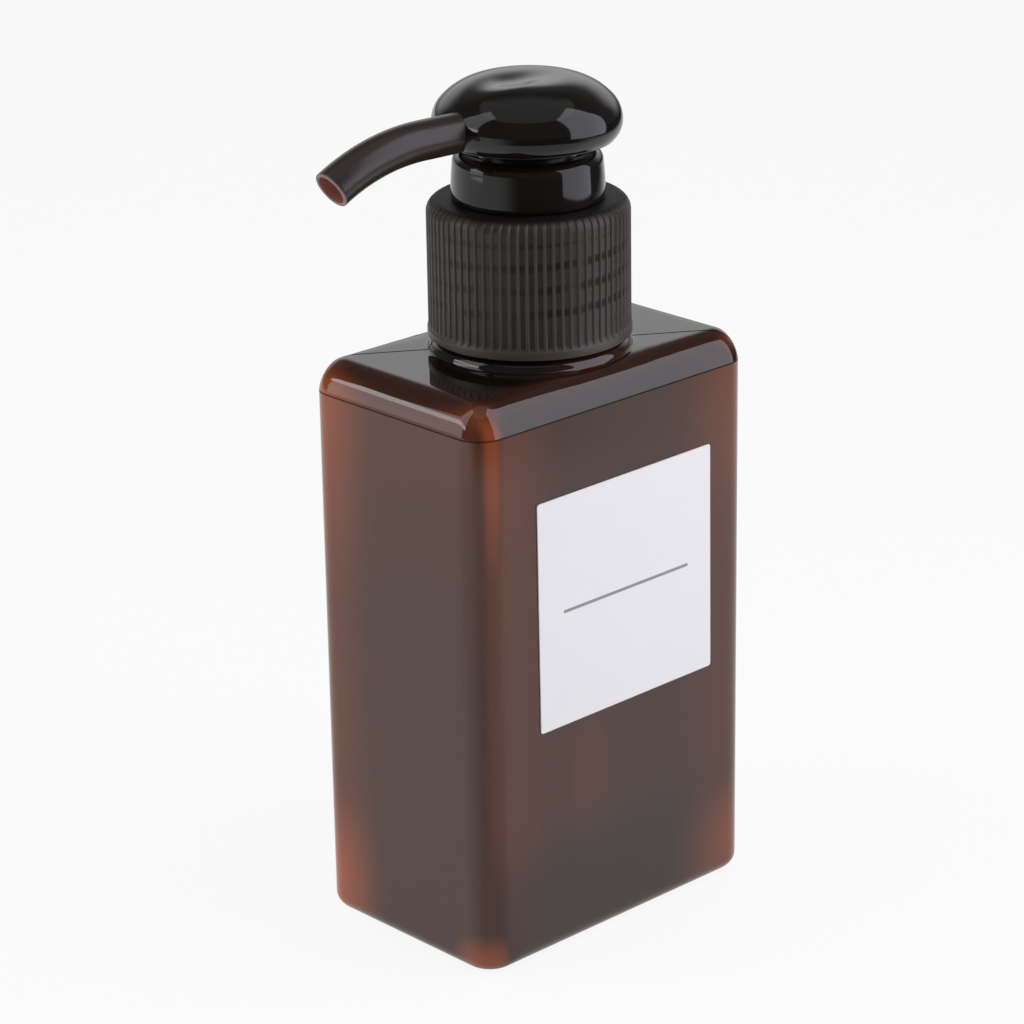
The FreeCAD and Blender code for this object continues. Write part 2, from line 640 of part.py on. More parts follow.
def coil_spring():
    """Spring as one tube along quarter-turn biarcs"""
    wire_radius = value("wire_radius")
    bottom = value(SPRING_BOTTOM) + wire_radius
    top = value(SPRING_TOP) - wire_radius
    whole = 2 * math.pi * value("coil_turns")
    rise = (top - bottom) / whole
    quarters = max(round(whole / (math.pi / 2)), 1)
    angles = [whole * step / quarters for step in range(quarters + 1)]
    edges = []
    for first, last in zip(angles, angles[1:]):
        edges += biarc(helix_point(first, bottom, rise), helix_heading(first, rise),
                       helix_point(last, bottom, rise), helix_heading(last, rise))
    tube = Part.BRepOffsetAPI.MakePipeShell(Part.Wire(Part.__sortEdges__(edges)))
    tube.add(wire_section(helix_point(0, bottom, rise), helix_heading(0, rise)))
    tube.build()
    tube.makeSolid()
    half_turn = 2
    gap = least_gap([helix_point(angle, bottom, rise) for angle in angles], half_turn + 1, 2 * wire_radius)
    print("spring: least gap between turns", round(gap, 3), "mm")
    return tube.shape()


spring = doc.addObject("Part::Feature", "return_spring")
spring.Label = "return_spring"
spring.Shape = coil_spring()
spring.Placement = FreeCAD.Placement()
nodes.append(spring)

# Cage: pierced disc on the barrel's floor with a pilot for the spring and crossed bars over the ball
cage = new_body("ball_cage")
turned(cage, "cage_disc", [
    ("ball_chamber", BARREL_FLOOR), ("barrel_bore - fit_gap", BARREL_FLOOR),
    ("barrel_bore - fit_gap", f"{BARREL_FLOOR} + cage_thick"),
    ("pilot_radius", f"{BARREL_FLOOR} + cage_thick"),
    ("pilot_radius", f"{BARREL_FLOOR} + cage_thick + cage_pilot"),
    ("ball_chamber", f"{BARREL_FLOOR} + cage_thick + cage_pilot")])
bar = extruded(cage, "bar",
               outline(cage, "bar_plan", "XY_Plane",
                       spoke("(ball_chamber + pilot_radius) / 2", "cage_bar / 2"), BARREL_FLOOR),
               "cage_thick")
repeated(cage, "bars", bar, "bar_count")

# Ball: rests on the cone of its seat
ball = doc.addObject("Part::Sphere", "check_ball")
ball.Label = "check_ball"
ball.setExpression("Radius", bind("ball_radius"))
ball.setExpression("Placement.Base.z", bind(f"{INLET_TOP} - inlet_radius + ball_radius * sqrt(2) + fit_gap"))
nodes.append(ball)

# Dip tube: from the socket to just above the floor, its foot cut aslant
tube = new_body("dip_tube")
TUBE_FOOT = f"({FLOOR} + tube_floor_gap)"
turned(tube, "tube_wall_turned", [
    ("tube_radius - tube_wall", TUBE_FOOT), ("tube_radius", TUBE_FOOT),
    ("tube_radius", TUBE_TOP), ("tube_radius - tube_wall", TUBE_TOP)])
extruded(tube, "foot_cut",
         outline(tube, "foot_plan", "XZ_Plane", [
             ("-tube_radius - part_gap", f"{TUBE_FOOT} - part_gap"),
             ("tube_radius + part_gap", f"{TUBE_FOOT} - part_gap"),
             ("tube_radius + part_gap", f"{TUBE_FOOT} + tube_cut")], "-tube_radius - part_gap"),
         "2 * (tube_radius + part_gap)", "Pocket", True)

# The head's pieces stand turned together on the stem
for piece in (dome, spout, stem, plunger):
    piece.Placement.Rotation.Axis = FreeCAD.Vector(0, 0, 1)
    piece.setExpression("Placement.Rotation.Angle", bind("head_turn"))

doc.recompute()
faults = [thing.Name for thing in doc.Objects if {"Invalid", "Error"} & set(thing.State)]
faults += [node.Label for node in nodes if node.Shape.isNull() or not node.Shape.isValid()]
faults += [node.Label for node in nodes if len(node.Shape.Solids) != 1]
if faults:
    raise RuntimeError("failed: " + ", ".join(faults))

os.makedirs("parts", exist_ok=True)
for node in nodes:
    node.Shape.exportStep(f"parts/{node.Label}.step")
    print(node.Label, round(node.Shape.Volume, 2), "mm3")
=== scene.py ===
"""Pump oil bottle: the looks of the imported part, built piece by piece in the frame's own metres.

The meshes are written in millimetres and brought to metres as each piece is made.
"""

import json
import math

import bmesh
import bpy
import numpy as np
from mathutils import Matrix, Vector


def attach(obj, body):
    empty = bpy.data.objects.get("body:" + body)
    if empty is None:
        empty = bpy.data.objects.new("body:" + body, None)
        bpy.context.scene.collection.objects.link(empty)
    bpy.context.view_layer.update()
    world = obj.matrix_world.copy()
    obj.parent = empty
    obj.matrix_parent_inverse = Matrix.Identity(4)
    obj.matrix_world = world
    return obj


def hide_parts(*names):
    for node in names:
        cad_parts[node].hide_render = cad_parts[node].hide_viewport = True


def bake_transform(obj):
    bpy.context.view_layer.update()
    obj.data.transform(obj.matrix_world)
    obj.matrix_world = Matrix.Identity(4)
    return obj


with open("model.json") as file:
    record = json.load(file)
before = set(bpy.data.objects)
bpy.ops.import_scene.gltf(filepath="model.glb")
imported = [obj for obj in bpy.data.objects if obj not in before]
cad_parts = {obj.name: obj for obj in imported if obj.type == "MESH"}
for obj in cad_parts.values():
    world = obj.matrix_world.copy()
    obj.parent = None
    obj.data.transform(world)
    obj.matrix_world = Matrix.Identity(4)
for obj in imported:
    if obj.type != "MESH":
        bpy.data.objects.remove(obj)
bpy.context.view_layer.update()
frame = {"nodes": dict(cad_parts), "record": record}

# Bottle
# A blow-moulded block of clear amber PETG with soft edges, a pushed-up base and a 24 mm screw neck.
# The mould parts along the diagonal of the shoulder and leaves a fine line there and below the rounding.
MM = 0.001
BODY_HALF_WIDTH = 25.3
BODY_HALF_DEPTH = 16.77
BODY_TOP = 80.6
UPRIGHT_ROUND = 3.9
LEAST_ROUND = 0.3
CREASE = 76.3
SHOULDER_TOP_ROUND = 2.8
SHOULDER_START = math.radians(8.0)
SHOULDER_TURN = math.radians(45.0)
SHOULDER_LOW_ROUND = (BODY_TOP - CREASE - SHOULDER_TOP_ROUND * (1 - math.sin(SHOULDER_TURN))) / (
    math.sin(SHOULDER_TURN) - math.sin(SHOULDER_START))
FOOT_ROUND = 2.2
FOOT_PINCH = 0.6
WALL = 1.3
FLOOR_TOP = 2.8
INNER_FOOT = 6.0
PUSH_UP = 1.0
PUSH_UP_EDGE = ((5.9, PUSH_UP), (5.4, PUSH_UP), (5.1, 0.8), (5.0, 0.5), (4.9, 0.2), (4.6, 0.0))
WALL_HEIGHTS = (3.3, 8, 20, 40, 60, 74, CREASE - 0.5, CREASE - 0.08)
INNER_HEIGHTS = (CREASE - 0.6, 60, 20, FLOOR_TOP + INNER_FOOT + 1)
RING_RADIUS = 13.7
RING_TOP = 82.1
RING_ROUND = 1.6
RING_FILLET = 0.3
NECK_RADIUS = 10.8
NECK_TOP = 97.2
NECK_BORE = 8.4
NECK_MOUTH = NECK_BORE + 0.9
CORNER_STEPS = 10
SIDE_SHARES = (0.02, 0.08, 0.16, 0.26, 0.38, 0.5, 0.62, 0.74, 0.84, 0.92, 0.98)
RIM_SHARE = 0.36
HALVINGS = 40
BOTTLE_CREASE = 32
BODY_MIDDLE = Vector((0, 0, 40.0))
PARTING = Vector((-BODY_HALF_DEPTH, -BODY_HALF_WIDTH, 0)).normalized()
GLOW_STREAK_LEFT = 6.2
AMBER_IOR = 1.57
AMBER_CLEAR = ((0.060, 0.021, 0.012, 1), (0.085, 0.030, 0.017, 1))
# painted shade on the shoulder
AMBER_SHOULDER_SHADE = (0.004, 0.002, 0.002, 1)
# painted light: the orange of the glow at the edges, rim and foot
AMBER_GLOW_PAINT = ((0.74, 0.160, 0.043, 1), (0.67, 0.146, 0.040, 1))
AMBER_DEEP = (0.009, 0.0065, 0.006, 1)
MOULD_LINE = ((0.010, 0.006, 0.005, 1), (0.016, 0.010, 0.008, 1))
INSIDE_GLOSS_LOSS = 0.42


def headings(turns):
    """Directions in the plan at angles from +X"""
    return np.stack([np.cos(turns), np.sin(turns)], 1)


def plan(half_x, half_y, corner):
    """Rounded rectangle as points, counter-clockwise and equally many whatever its size"""
    corner = max(corner, LEAST_ROUND)
    centres = [np.array([sx * (half_x - corner), sy * (half_y - corner)])
               for sx, sy in ((1, 1), (-1, 1), (-1, -1), (1, -1))]
    points = []
    for quarter in range(4):
        ways = headings(quarter * math.pi / 2 + np.linspace(0, math.pi / 2, CORNER_STEPS + 1))
        bend = centres[quarter] + corner * ways
        next_start = centres[(quarter + 1) % 4] + corner * ways[-1]
        points.extend(bend)
        points.extend(bend[-1] + (next_start - bend[-1]) * share for share in SIDE_SHARES)
    return np.array(points)


def arc(centre, radius, start, end, steps):
    """Points of a profile along an arc, angles in degrees from straight outwards"""
    return [(centre[0] + radius * math.cos(turn), centre[1] + radius * math.sin(turn))
            for turn in np.radians(np.linspace(start, end, steps))]


def shoulder_height(places, wall):
    """Height of the shoulder's outside, or of its inside at a wall's depth, above points of the plan"""
    half = np.array([BODY_HALF_WIDTH - wall, BODY_HALF_DEPTH - wall])
    low_round = SHOULDER_LOW_ROUND - wall
    top_round = SHOULDER_TOP_ROUND - wall
    low_run = low_round * (math.cos(SHOULDER_START) - math.cos(SHOULDER_TURN))
    run = low_run + top_round * math.cos(SHOULDER_TURN)
    upright = UPRIGHT_ROUND - wall

    def beyond(inset):
        corner = upright + (LEAST_ROUND - upright) * inset / run
        off = np.abs(places) - (half - inset[:, None] - corner[:, None])
        return np.linalg.norm(np.maximum(off, 0), axis=1) + np.minimum(off.max(1), 0) - corner
    low = np.zeros(len(places))
    high = np.full(len(places), run)
    for _ in range(HALVINGS):
        middle = (low + high) / 2
        outside = beyond(middle) > 0
        low, high = np.where(outside, low, middle), np.where(outside, middle, high)
    slope_low = np.minimum(math.cos(SHOULDER_START) - low / low_round, 1)
    slope_top = np.minimum((run - low) / top_round, 1)
    arc_foot = CREASE - SHOULDER_LOW_ROUND * math.sin(SHOULDER_START)
    on_low = arc_foot + low_round * np.sqrt(1 - slope_low ** 2)
    on_top = BODY_TOP - SHOULDER_TOP_ROUND + top_round * np.sqrt(1 - slope_top ** 2)
    return np.where(low < low_run, on_low, on_top)


def level(places, height):
    """Points of a plan set at a height"""
    return np.column_stack([places, np.broadcast_to(height, len(places))])


def skin(loops, ends_meet=False):
    """Points and faces of a surface through equal closed loops, closed at its ends or joined to itself"""
    count = len(loops[0])
    faces = []
    pairs = [(k, k + 1) for k in range(len(loops) - 1)]
    if ends_meet:
        pairs.append((len(loops) - 1, 0))
    for low, high in pairs:
        for i in range(count):
            j = (i + 1) % count
            faces.append((low * count + i, low * count + j, high * count + j, high * count + i))
    if not ends_meet:
        faces.append(tuple(range(count))[::-1])
        faces.append(tuple((len(loops) - 1) * count + i for i in range(count)))
    return np.concatenate(loops), faces


def smooth_object(name, mesh, crease):
    """Object of a mesh, smooth but for edges that turn by more than the crease angle in degrees"""
    mesh.polygons.foreach_set("use_smooth", [True] * len(mesh.polygons))
    mesh.set_sharp_from_angle(angle=math.radians(crease))
    piece = bpy.data.objects.new(name, mesh)
    bpy.context.scene.collection.objects.link(piece)
    return piece


def new_piece(name, shells, crease=40):
    """One object from shells, each of points in millimetres and faces"""
    mesh = bpy.data.meshes.new(name)
    points = []
    faces = []
    for shell_points, shell_faces in shells:
        start = len(points)
        points.extend((np.asarray(shell_points) * MM).tolist())
        faces.extend(tuple(start + i for i in face) for face in shell_faces)
    mesh.from_pydata(points, [], faces)
    work = bmesh.new()
    work.from_mesh(mesh)
    bmesh.ops.remove_doubles(work, verts=work.verts, dist=1e-7)
    bmesh.ops.dissolve_degenerate(work, edges=work.edges, dist=1e-7)
    bmesh.ops.recalc_face_normals(work, faces=work.faces)
    work.to_mesh(mesh)
    work.free()
    return smooth_object(name, mesh, crease)


class Signal:
    """A value on its way through a node tree; sums written with it become Math nodes"""

    def __init__(self, tree, socket):
        self.tree = tree
        self.socket = socket

    def maths(self, operation, *values):
        return self.tree.node("ShaderNodeMath", {"operation": operation}, dict(enumerate(values)))

    def __add__(self, other):
        return self.maths("ADD", self, other)

    def __radd__(self, other):
        return self.maths("ADD", other, self)

    def __sub__(self, other):
        return self.maths("SUBTRACT", self, other)

    def __rsub__(self, other):
        return self.maths("SUBTRACT", other, self)

    def __mul__(self, other):
        return self.maths("MULTIPLY", self, other)

    def __rmul__(self, other):
        return self.maths("MULTIPLY", other, self)

    def __truediv__(self, other):
        return self.maths("DIVIDE", self, other)

    def __abs__(self):
        return self.maths("ABSOLUTE", self)

    def root(self):
        return self.maths("SQRT", self)

    def sine(self):
        return self.maths("SINE", self)

    def wrap(self):
        return self.maths("FRACT", self)

    def least(self, other):
        return self.maths("MINIMUM", self, other)

    def most(self, other):
        return self.maths("MAXIMUM", self, other)

    def fade(self, start, end):
        """0 before start, 1 after end, smooth between"""
        sockets = {"Value": self, "From Min": start, "From Max": end}
        return self.tree.node("ShaderNodeMapRange", {"interpolation_type": "SMOOTHSTEP"}, sockets)


class Tree:
    """A shader node tree and the one way to add a node to it"""

    def __init__(self, owner):
        owner.use_nodes = True
        self.nodes = owner.node_tree.nodes
        self.links = owner.node_tree.links
        self.nodes.clear()

    def node(self, kind, settings=None, sockets=None, output=0):
        made = self.nodes.new(kind)
        for key, setting in (settings or {}).items():
            setattr(made, key, setting)
        for key, given in (sockets or {}).items():
            if isinstance(given, Signal):
                self.links.new(given.socket, made.inputs[key])
            else:
                made.inputs[key].default_value = given
        return Signal(self, made.outputs[output]) if made.outputs else None

    def parts(self, vector):
        """A vector as three numbers"""
        first = self.node("ShaderNodeSeparateXYZ", sockets={0: vector}, output="X")
        outputs = first.socket.node.outputs
        return first, Signal(self, outputs["Y"]), Signal(self, outputs["Z"])

    def where(self):
        """Object coordinates in metres"""
        return self.node("ShaderNodeTexCoord", output="Object")

    def place(self):
        """Object coordinates as a vector and as three numbers, in metres"""
        where = self.where()
        return where, *self.parts(where)

    def noise(self, where, scale, detail=2.0):
        sockets = {"Vector": where, "Scale": scale, "Detail": detail, "Roughness": 0.5}
        return self.node("ShaderNodeTexNoise", {"noise_dimensions": "3D"}, sockets)

    def stretched(self, where, along):
        """Coordinates with the vertical drawn out, for streaks"""
        return self.node("ShaderNodeMapping", sockets={"Vector": where, "Scale": (1, 1, along)})

    def blend(self, share, first, second):
        """One colour to another by a share"""
        return self.node("ShaderNodeMix", {"data_type": "RGBA"}, {0: share, 6: first, 7: second}, output=2)

    def bump(self, height, depth):
        """Normals from a height of 0 to 1 that stands for a depth in metres"""
        return self.node("ShaderNodeBump", sockets={"Height": height, "Distance": depth, "Strength": 1.0})

    def shader(self, **sockets):
        """A Principled shader, its sockets named with underscores for spaces"""
        named = {key.replace("_", " "): given for key, given in sockets.items()}
        return self.node("ShaderNodeBsdfPrincipled", sockets=named)

    def mix(self, share, first, second):
        """One shader to another by a share"""
        return self.node("ShaderNodeMixShader", sockets={0: share, 1: first, 2: second})

    def show(self, shader):
        """The shader that the material has in the end"""
        self.node("ShaderNodeOutputMaterial", sockets={"Surface": shader})


def new_finish(name):
    """An empty material and its tree"""
    material = bpy.data.materials.new(name)
    return material, Tree(material)


def bottle_loops():
    """Loops from the middle of the base over the outside to the lip and down the inside to the floor"""
    loops = []
    for inset, height in PUSH_UP_EDGE:
        loops.append(level(plan(BODY_HALF_WIDTH - inset, BODY_HALF_DEPTH - inset, FOOT_ROUND), height))
    for turn in np.linspace(0, math.pi / 2, 9):
        inset = FOOT_ROUND * (1 - math.sin(turn))
        outline = plan(BODY_HALF_WIDTH - inset, BODY_HALF_DEPTH - inset, UPRIGHT_ROUND - FOOT_PINCH * inset)
        loops.append(level(outline, FOOT_ROUND * (1 - math.cos(turn))))
    rim = plan(BODY_HALF_WIDTH, BODY_HALF_DEPTH, UPRIGHT_ROUND)
    loops += [level(rim, height) for height in WALL_HEIGHTS]
    round_way = headings(np.arctan2(rim[:, 1], rim[:, 0]))
    shares = np.concatenate([RIM_SHARE * np.linspace(0, 1, 22) ** 2, np.linspace(RIM_SHARE, 1, 16)[1:]])
    for share in shares:
        places = rim + ((RING_RADIUS + RING_FILLET) * round_way - rim) * share
        loops.append(level(places, shoulder_height(places, 0)))
    ring_start = math.degrees(math.asin((BODY_TOP + RING_FILLET - RING_TOP + RING_ROUND) / RING_ROUND))
    neck = [
        (RING_RADIUS + 0.35 * RING_FILLET, BODY_TOP + 0.25 * RING_FILLET),
        *arc((RING_RADIUS - RING_ROUND, RING_TOP - RING_ROUND), RING_ROUND, ring_start, 90, 14),
        (NECK_RADIUS + 0.6, RING_TOP), (NECK_RADIUS + 0.15, RING_TOP + 0.15), (NECK_RADIUS, RING_TOP + 0.6),
        (NECK_RADIUS, NECK_TOP - 0.5), (NECK_RADIUS - 0.15, NECK_TOP - 0.15), (NECK_RADIUS - 0.5, NECK_TOP),
        (NECK_BORE + 0.3, NECK_TOP), (NECK_BORE + 0.08, NECK_TOP - 0.1), (NECK_BORE, NECK_TOP - 0.4),
        (NECK_BORE, BODY_TOP + 0.2), (NECK_BORE + 0.1, BODY_TOP - 0.6), (NECK_BORE + 0.4, BODY_TOP - 1.05)]
    loops += [level(round_way * radius, height) for radius, height in neck]
    inner_rim = plan(BODY_HALF_WIDTH - WALL, BODY_HALF_DEPTH - WALL, UPRIGHT_ROUND - WALL)
    for share in shares[::-1]:
        places = inner_rim + (NECK_MOUTH * round_way - inner_rim) * share
        loops.append(level(places, shoulder_height(places, WALL)))
    loops += [level(inner_rim, height) for height in INNER_HEIGHTS]
    for turn in np.linspace(math.pi / 2, 0, 12):
        inset = WALL + INNER_FOOT * (1 - math.sin(turn))
        outline = plan(BODY_HALF_WIDTH - inset, BODY_HALF_DEPTH - inset, UPRIGHT_ROUND - WALL)
        loops.append(level(outline, FLOOR_TOP + INNER_FOOT * (1 - math.cos(turn))))
    return loops


def amber_glow_paint(across, deep, high, upper, from_rim):
    """Painted glow for light scattered in the wall, by place in metres: most at the edges, the shoulder's rim
    and the foot
    """
    on_side = abs(across).fade(0.0232, 0.0242)
    on_left = 1 - across.fade(-0.001, 0.001)
    from_back = BODY_HALF_DEPTH * MM - deep
    from_side = BODY_HALF_WIDTH * MM - abs(across)
    spread = (across * across + deep * deep).root()
    tall = high.fade(0.045, 0.075)
    low = 1 - high.fade(0.005, 0.021)
    below_crease = 1 - high.fade(0.0760, 0.0766)
    side_glow_paint = 0.075 + 0.035 * tall + 0.03 * high.fade(0.066, 0.075)
    side_glow_paint = side_glow_paint + (1 - from_back.fade(0.0, 0.014)) * (0.16 + 0.23 * tall + 0.50 * low)
    near_side = 1 - from_side.fade(0.003, 0.016)
    corner_glow_paint = on_left * near_side * (0.034 + 0.040 * high.fade(0.008, 0.024) + 0.022 * tall)
    right_glow_paint = (1 - on_left) * (1 - from_side.fade(0.0, 0.017)) * (0.06 + 0.10 * tall).most(0.28 * low)
    front_glow_paint = 0.022 + 0.030 * high.fade(0.010, 0.022) + corner_glow_paint.most(right_glow_paint)
    front_glow_paint = front_glow_paint * (0.15 + 0.85 * below_crease)
    # painted light: a faint streak of glow on the front, left of the middle
    streak_glow_paint = (1 - abs(across + GLOW_STREAK_LEFT * MM).fade(0.0, 0.0075)) * high.fade(0.010, 0.026)
    streak_glow_paint = streak_glow_paint * (1 - high.fade(0.026, 0.040)) * (1 - deep.fade(-0.001, 0.001)) * 0.05
    edge_glow_paint = on_left * ((1 - from_side.fade(0.0026, 0.0048)) * tall * 0.38)
    front_glow_paint = (front_glow_paint + streak_glow_paint).most(edge_glow_paint)
    wall_glow_paint = on_side * side_glow_paint + (1 - on_side) * front_glow_paint
    rim_glow_paint = (1 - from_rim.fade(0.002, 0.007)) * 0.04 + spread.fade(0.0245, 0.0292) * 0.24
    foot_glow_paint = spread.fade(0.0262, 0.0292) * (1 - high.fade(0.0010, 0.0078)) * 0.48
    foot_glow_paint = foot_glow_paint.most((1 - high.fade(0.0, 0.0034)) * 0.10)
    return (wall_glow_paint + (rim_glow_paint - wall_glow_paint) * upper).most(foot_glow_paint)


def amber_finish(name, gloss_loss):
    """Amber PETG, polished outside with the mould's lines on it, or dull inside, under a skin of painted glow
    """
    material, tree = new_finish(name)
    where, across, deep, high = tree.place()
    streaks = tree.noise(tree.stretched(where, 0.12), 160.0, 3.0)
    clouds = tree.noise(where, 28.0, 1.0)
    mottle = streaks * 0.5 + clouds * 0.5
    uneven = tree.bump(clouds, 0.00005)
    roughness = 0.03 + streaks * 0.02 + gloss_loss
    upper = high.fade(0.0772, 0.0798)
    from_side = BODY_HALF_WIDTH * MM - abs(across)
    from_rim = from_side.least(BODY_HALF_DEPTH * MM - abs(deep))
    glow_paint_share = amber_glow_paint(across, deep, high, upper, from_rim)
    cover = glow_paint_share.most(0.88 + 0.09 * (1 - high.fade(0.009, 0.019)))
    # painted shade: the shoulder's clear tint turns near black away from its rim
    tone = tree.blend(upper * from_rim.fade(0.002, 0.007), tree.blend(mottle, *AMBER_CLEAR), AMBER_SHOULDER_SHADE)
    # painted light: the skin takes the painted glow's orange where the glow is strong, dark amber elsewhere
    glow_paint_colour = tree.blend(1 - glow_paint_share / cover, tree.blend(mottle, *AMBER_GLOW_PAINT), AMBER_DEEP)
    clear = tree.shader(Base_Color=tone, Roughness=roughness, IOR=AMBER_IOR, Transmission_Weight=1.0,
                        Normal=uneven)
    glow_paint_skin = tree.shader(Base_Color=glow_paint_colour, Roughness=roughness, IOR=AMBER_IOR, Normal=uneven)
    body = tree.mix(cover, clear, glow_paint_skin)
    if gloss_loss:
        tree.show(body)
        return material
    off_line = abs(across * PARTING.x + deep * PARTING.y)
    parting_line = (1 - off_line.fade(0.00012, 0.00022)) * high.fade(0.0788, 0.0797)
    crease_line = 1 - abs(high - CREASE * MM).fade(0.00006, 0.00014)
    groove = tree.shader(Base_Color=tree.blend(clouds, *MOULD_LINE), Roughness=0.8, Specular_IOR_Level=0.1)
    tree.show(tree.mix(parting_line.most(crease_line * 0.85), body, groove))
    return material


amber = amber_finish("amber_outside", 0.0)
bottle = new_piece("bottle", [skin(bottle_loops())], BOTTLE_CREASE)
bottle.data.materials.append(amber)
bottle.data.materials.append(amber_finish("amber_inside", INSIDE_GLOSS_LOSS))
for face in bottle.data.polygons:
    face.material_index = int(face.normal.dot(face.center - BODY_MIDDLE * MM) < 0)
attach(bottle, "bottle")
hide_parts("bottle_body")

# Neck thread
# One and a half turns of a rounded bead on the neck, moulded with the bottle in the same amber PETG.
# The collar hides it until it is unscrewed.
THREAD_PITCH = 3.175
THREAD_TURNS = 1.5
THREAD_FOOT = 86.2
THREAD_RISE = THREAD_TURNS * THREAD_PITCH
THREAD_RADIUS = NECK_RADIUS + 0.2
THREAD_BEAD = 0.75
THREAD_STEPS = (72, 12)


class Weave:
    """A Geometry Nodes tree for one made-up piece, with named inputs for its sizes"""

    def __init__(self, name):
        self.group = bpy.data.node_groups.new(name, "GeometryNodeTree")
        self.group.interface.new_socket("Geometry", in_out="INPUT", socket_type="NodeSocketGeometry")
        self.group.interface.new_socket("Geometry", in_out="OUTPUT", socket_type="NodeSocketGeometry")
        self.start = self.group.nodes.new("NodeGroupInput")
        self.end = self.group.nodes.new("NodeGroupOutput")
        self.sizes = {}

    def size(self, name, amount, kind="NodeSocketFloat"):
        """A named input and the amount it gets"""
        socket = self.group.interface.new_socket(name, in_out="INPUT", socket_type=kind)
        self.sizes[socket.identifier] = amount
        return next(output for output in self.start.outputs if output.identifier == socket.identifier)

    def node(self, kind, settings=None, sockets=None, output=0):
        made = self.group.nodes.new(kind)
        for key, setting in (settings or {}).items():
            setattr(made, key, setting)
        for key, given in (sockets or {}).items():
            if isinstance(given, bpy.types.NodeSocket):
                self.group.links.new(given, made.inputs[key])
            else:
                made.inputs[key].default_value = given
        return made.outputs[output]

    def winding(self, turns, radius, foot, rise, wire, turn_steps, wire_steps):
        """A round wire wound about the pump's axis, its sizes in millimetres"""
        around = self.size("Radius", radius * MM)
        line = self.node("GeometryNodeCurveSpiral", sockets={
            "Resolution": turn_steps, "Rotations": self.size("Turns", turns), "Start Radius": around,
            "End Radius": around, "Height": self.size("Rise", rise * MM)})
        upright = self.node("GeometryNodeSetCurveNormal", {"mode": "Z_UP"}, {0: line})
        section = self.node("GeometryNodeCurvePrimitiveCircle", {"mode": "RADIUS"},
                            {"Resolution": wire_steps, "Radius": self.size("Wire", wire * MM)})
        wound = self.node("GeometryNodeCurveToMesh", sockets={0: upright, 1: section, "Fill Caps": True})
        return self.node("GeometryNodeTransform", sockets={0: wound, "Translation": (0, 0, foot * MM)})

    def piece(self, name, seed_mesh, geometry, material, crease=40):
        """The tree's result as a plain mesh object"""
        real = self.node("GeometryNodeRealizeInstances", sockets={0: geometry})
        joined = self.node("GeometryNodeMergeByDistance", sockets={0: real, "Distance": 1e-6})
        dressed = self.node("GeometryNodeSetMaterial", sockets={0: joined, "Material": material})
        self.group.links.new(dressed, self.end.inputs[0])
        maker = bpy.data.objects.new(name + "_maker", seed_mesh)
        bpy.context.scene.collection.objects.link(maker)
        modifier = maker.modifiers.new("made", "NODES")
        modifier.node_group = self.group
        for identifier, amount in self.sizes.items():
            modifier[identifier] = amount
        result = maker.evaluated_get(bpy.context.evaluated_depsgraph_get())
        mesh = bpy.data.meshes.new_from_object(result)
        maker.modifiers.remove(modifier)
        bpy.data.objects.remove(maker)
        mesh.name = name
        work = bmesh.new()
        work.from_mesh(mesh)
        bmesh.ops.recalc_face_normals(work, faces=work.faces)
        work.to_mesh(mesh)
        work.free()
        return smooth_object(name, mesh, crease)


weave = Weave("neck_thread")
bead = weave.winding(THREAD_TURNS, THREAD_RADIUS, THREAD_FOOT, THREAD_RISE, THREAD_BEAD, *THREAD_STEPS)
thread = weave.piece("neck_thread", bpy.data.meshes.new("neck_thread_seed"), bead, amber)
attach(thread, "bottle")

# Label
# A square of white coated film, cut with small round corners and stuck on the front face by its own glue.
# One thin grey rule is printed across its middle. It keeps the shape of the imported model.
LABEL_MIDDLE = (1.1, 49.5)
LABEL_TILT = math.radians(0.4)
LABEL_HALF = 16.3
LABEL_WORN_RIM = 0.5
RULE_HALF_LENGTH = 11.8
RULE_HALF_WIDTH = 0.22
RULE_SOFT_EDGE = 0.04
FILM_WHITE = ((0.925, 0.920, 0.925, 1), (0.885, 0.880, 0.885, 1))
RULE_GREY = ((0.26, 0.26, 0.275, 1), (0.33, 0.33, 0.345, 1))


def within(distance, reach):
    """1 nearer than a reach in millimetres and 0 past it, with the rule's soft edge"""
    return 1 - abs(distance).fade((reach - RULE_SOFT_EDGE) * MM, (reach + RULE_SOFT_EDGE) * MM)


film, tree = new_finish("label_film")
where, across, deep, high = tree.place()
grain = tree.noise(where, 5200.0)
cloudy = tree.noise(where, 60.0)
from_left = across - LABEL_MIDDLE[0] * MM
from_foot = high - LABEL_MIDDLE[1] * MM
along_rule = from_left * math.cos(LABEL_TILT) + from_foot * math.sin(LABEL_TILT)
above_rule = from_foot * math.cos(LABEL_TILT) - from_left * math.sin(LABEL_TILT)
rule = within(above_rule, RULE_HALF_WIDTH) * within(along_rule, RULE_HALF_LENGTH)
from_middle = abs(along_rule).most(abs(above_rule))
rim_wear = from_middle.fade((LABEL_HALF - LABEL_WORN_RIM) * MM, LABEL_HALF * MM)
white = tree.blend(cloudy * 0.6 + rim_wear * 0.4, *FILM_WHITE)
printed = tree.blend(rule, white, tree.blend(grain, *RULE_GREY))
tree.show(tree.shader(Base_Color=printed, Roughness=0.42 + cloudy * 0.1 - rule * 0.1, IOR=1.48,
                      Normal=tree.bump(grain, 0.000004)))
frame["nodes"]["front_label"].material_slots[0].material = film

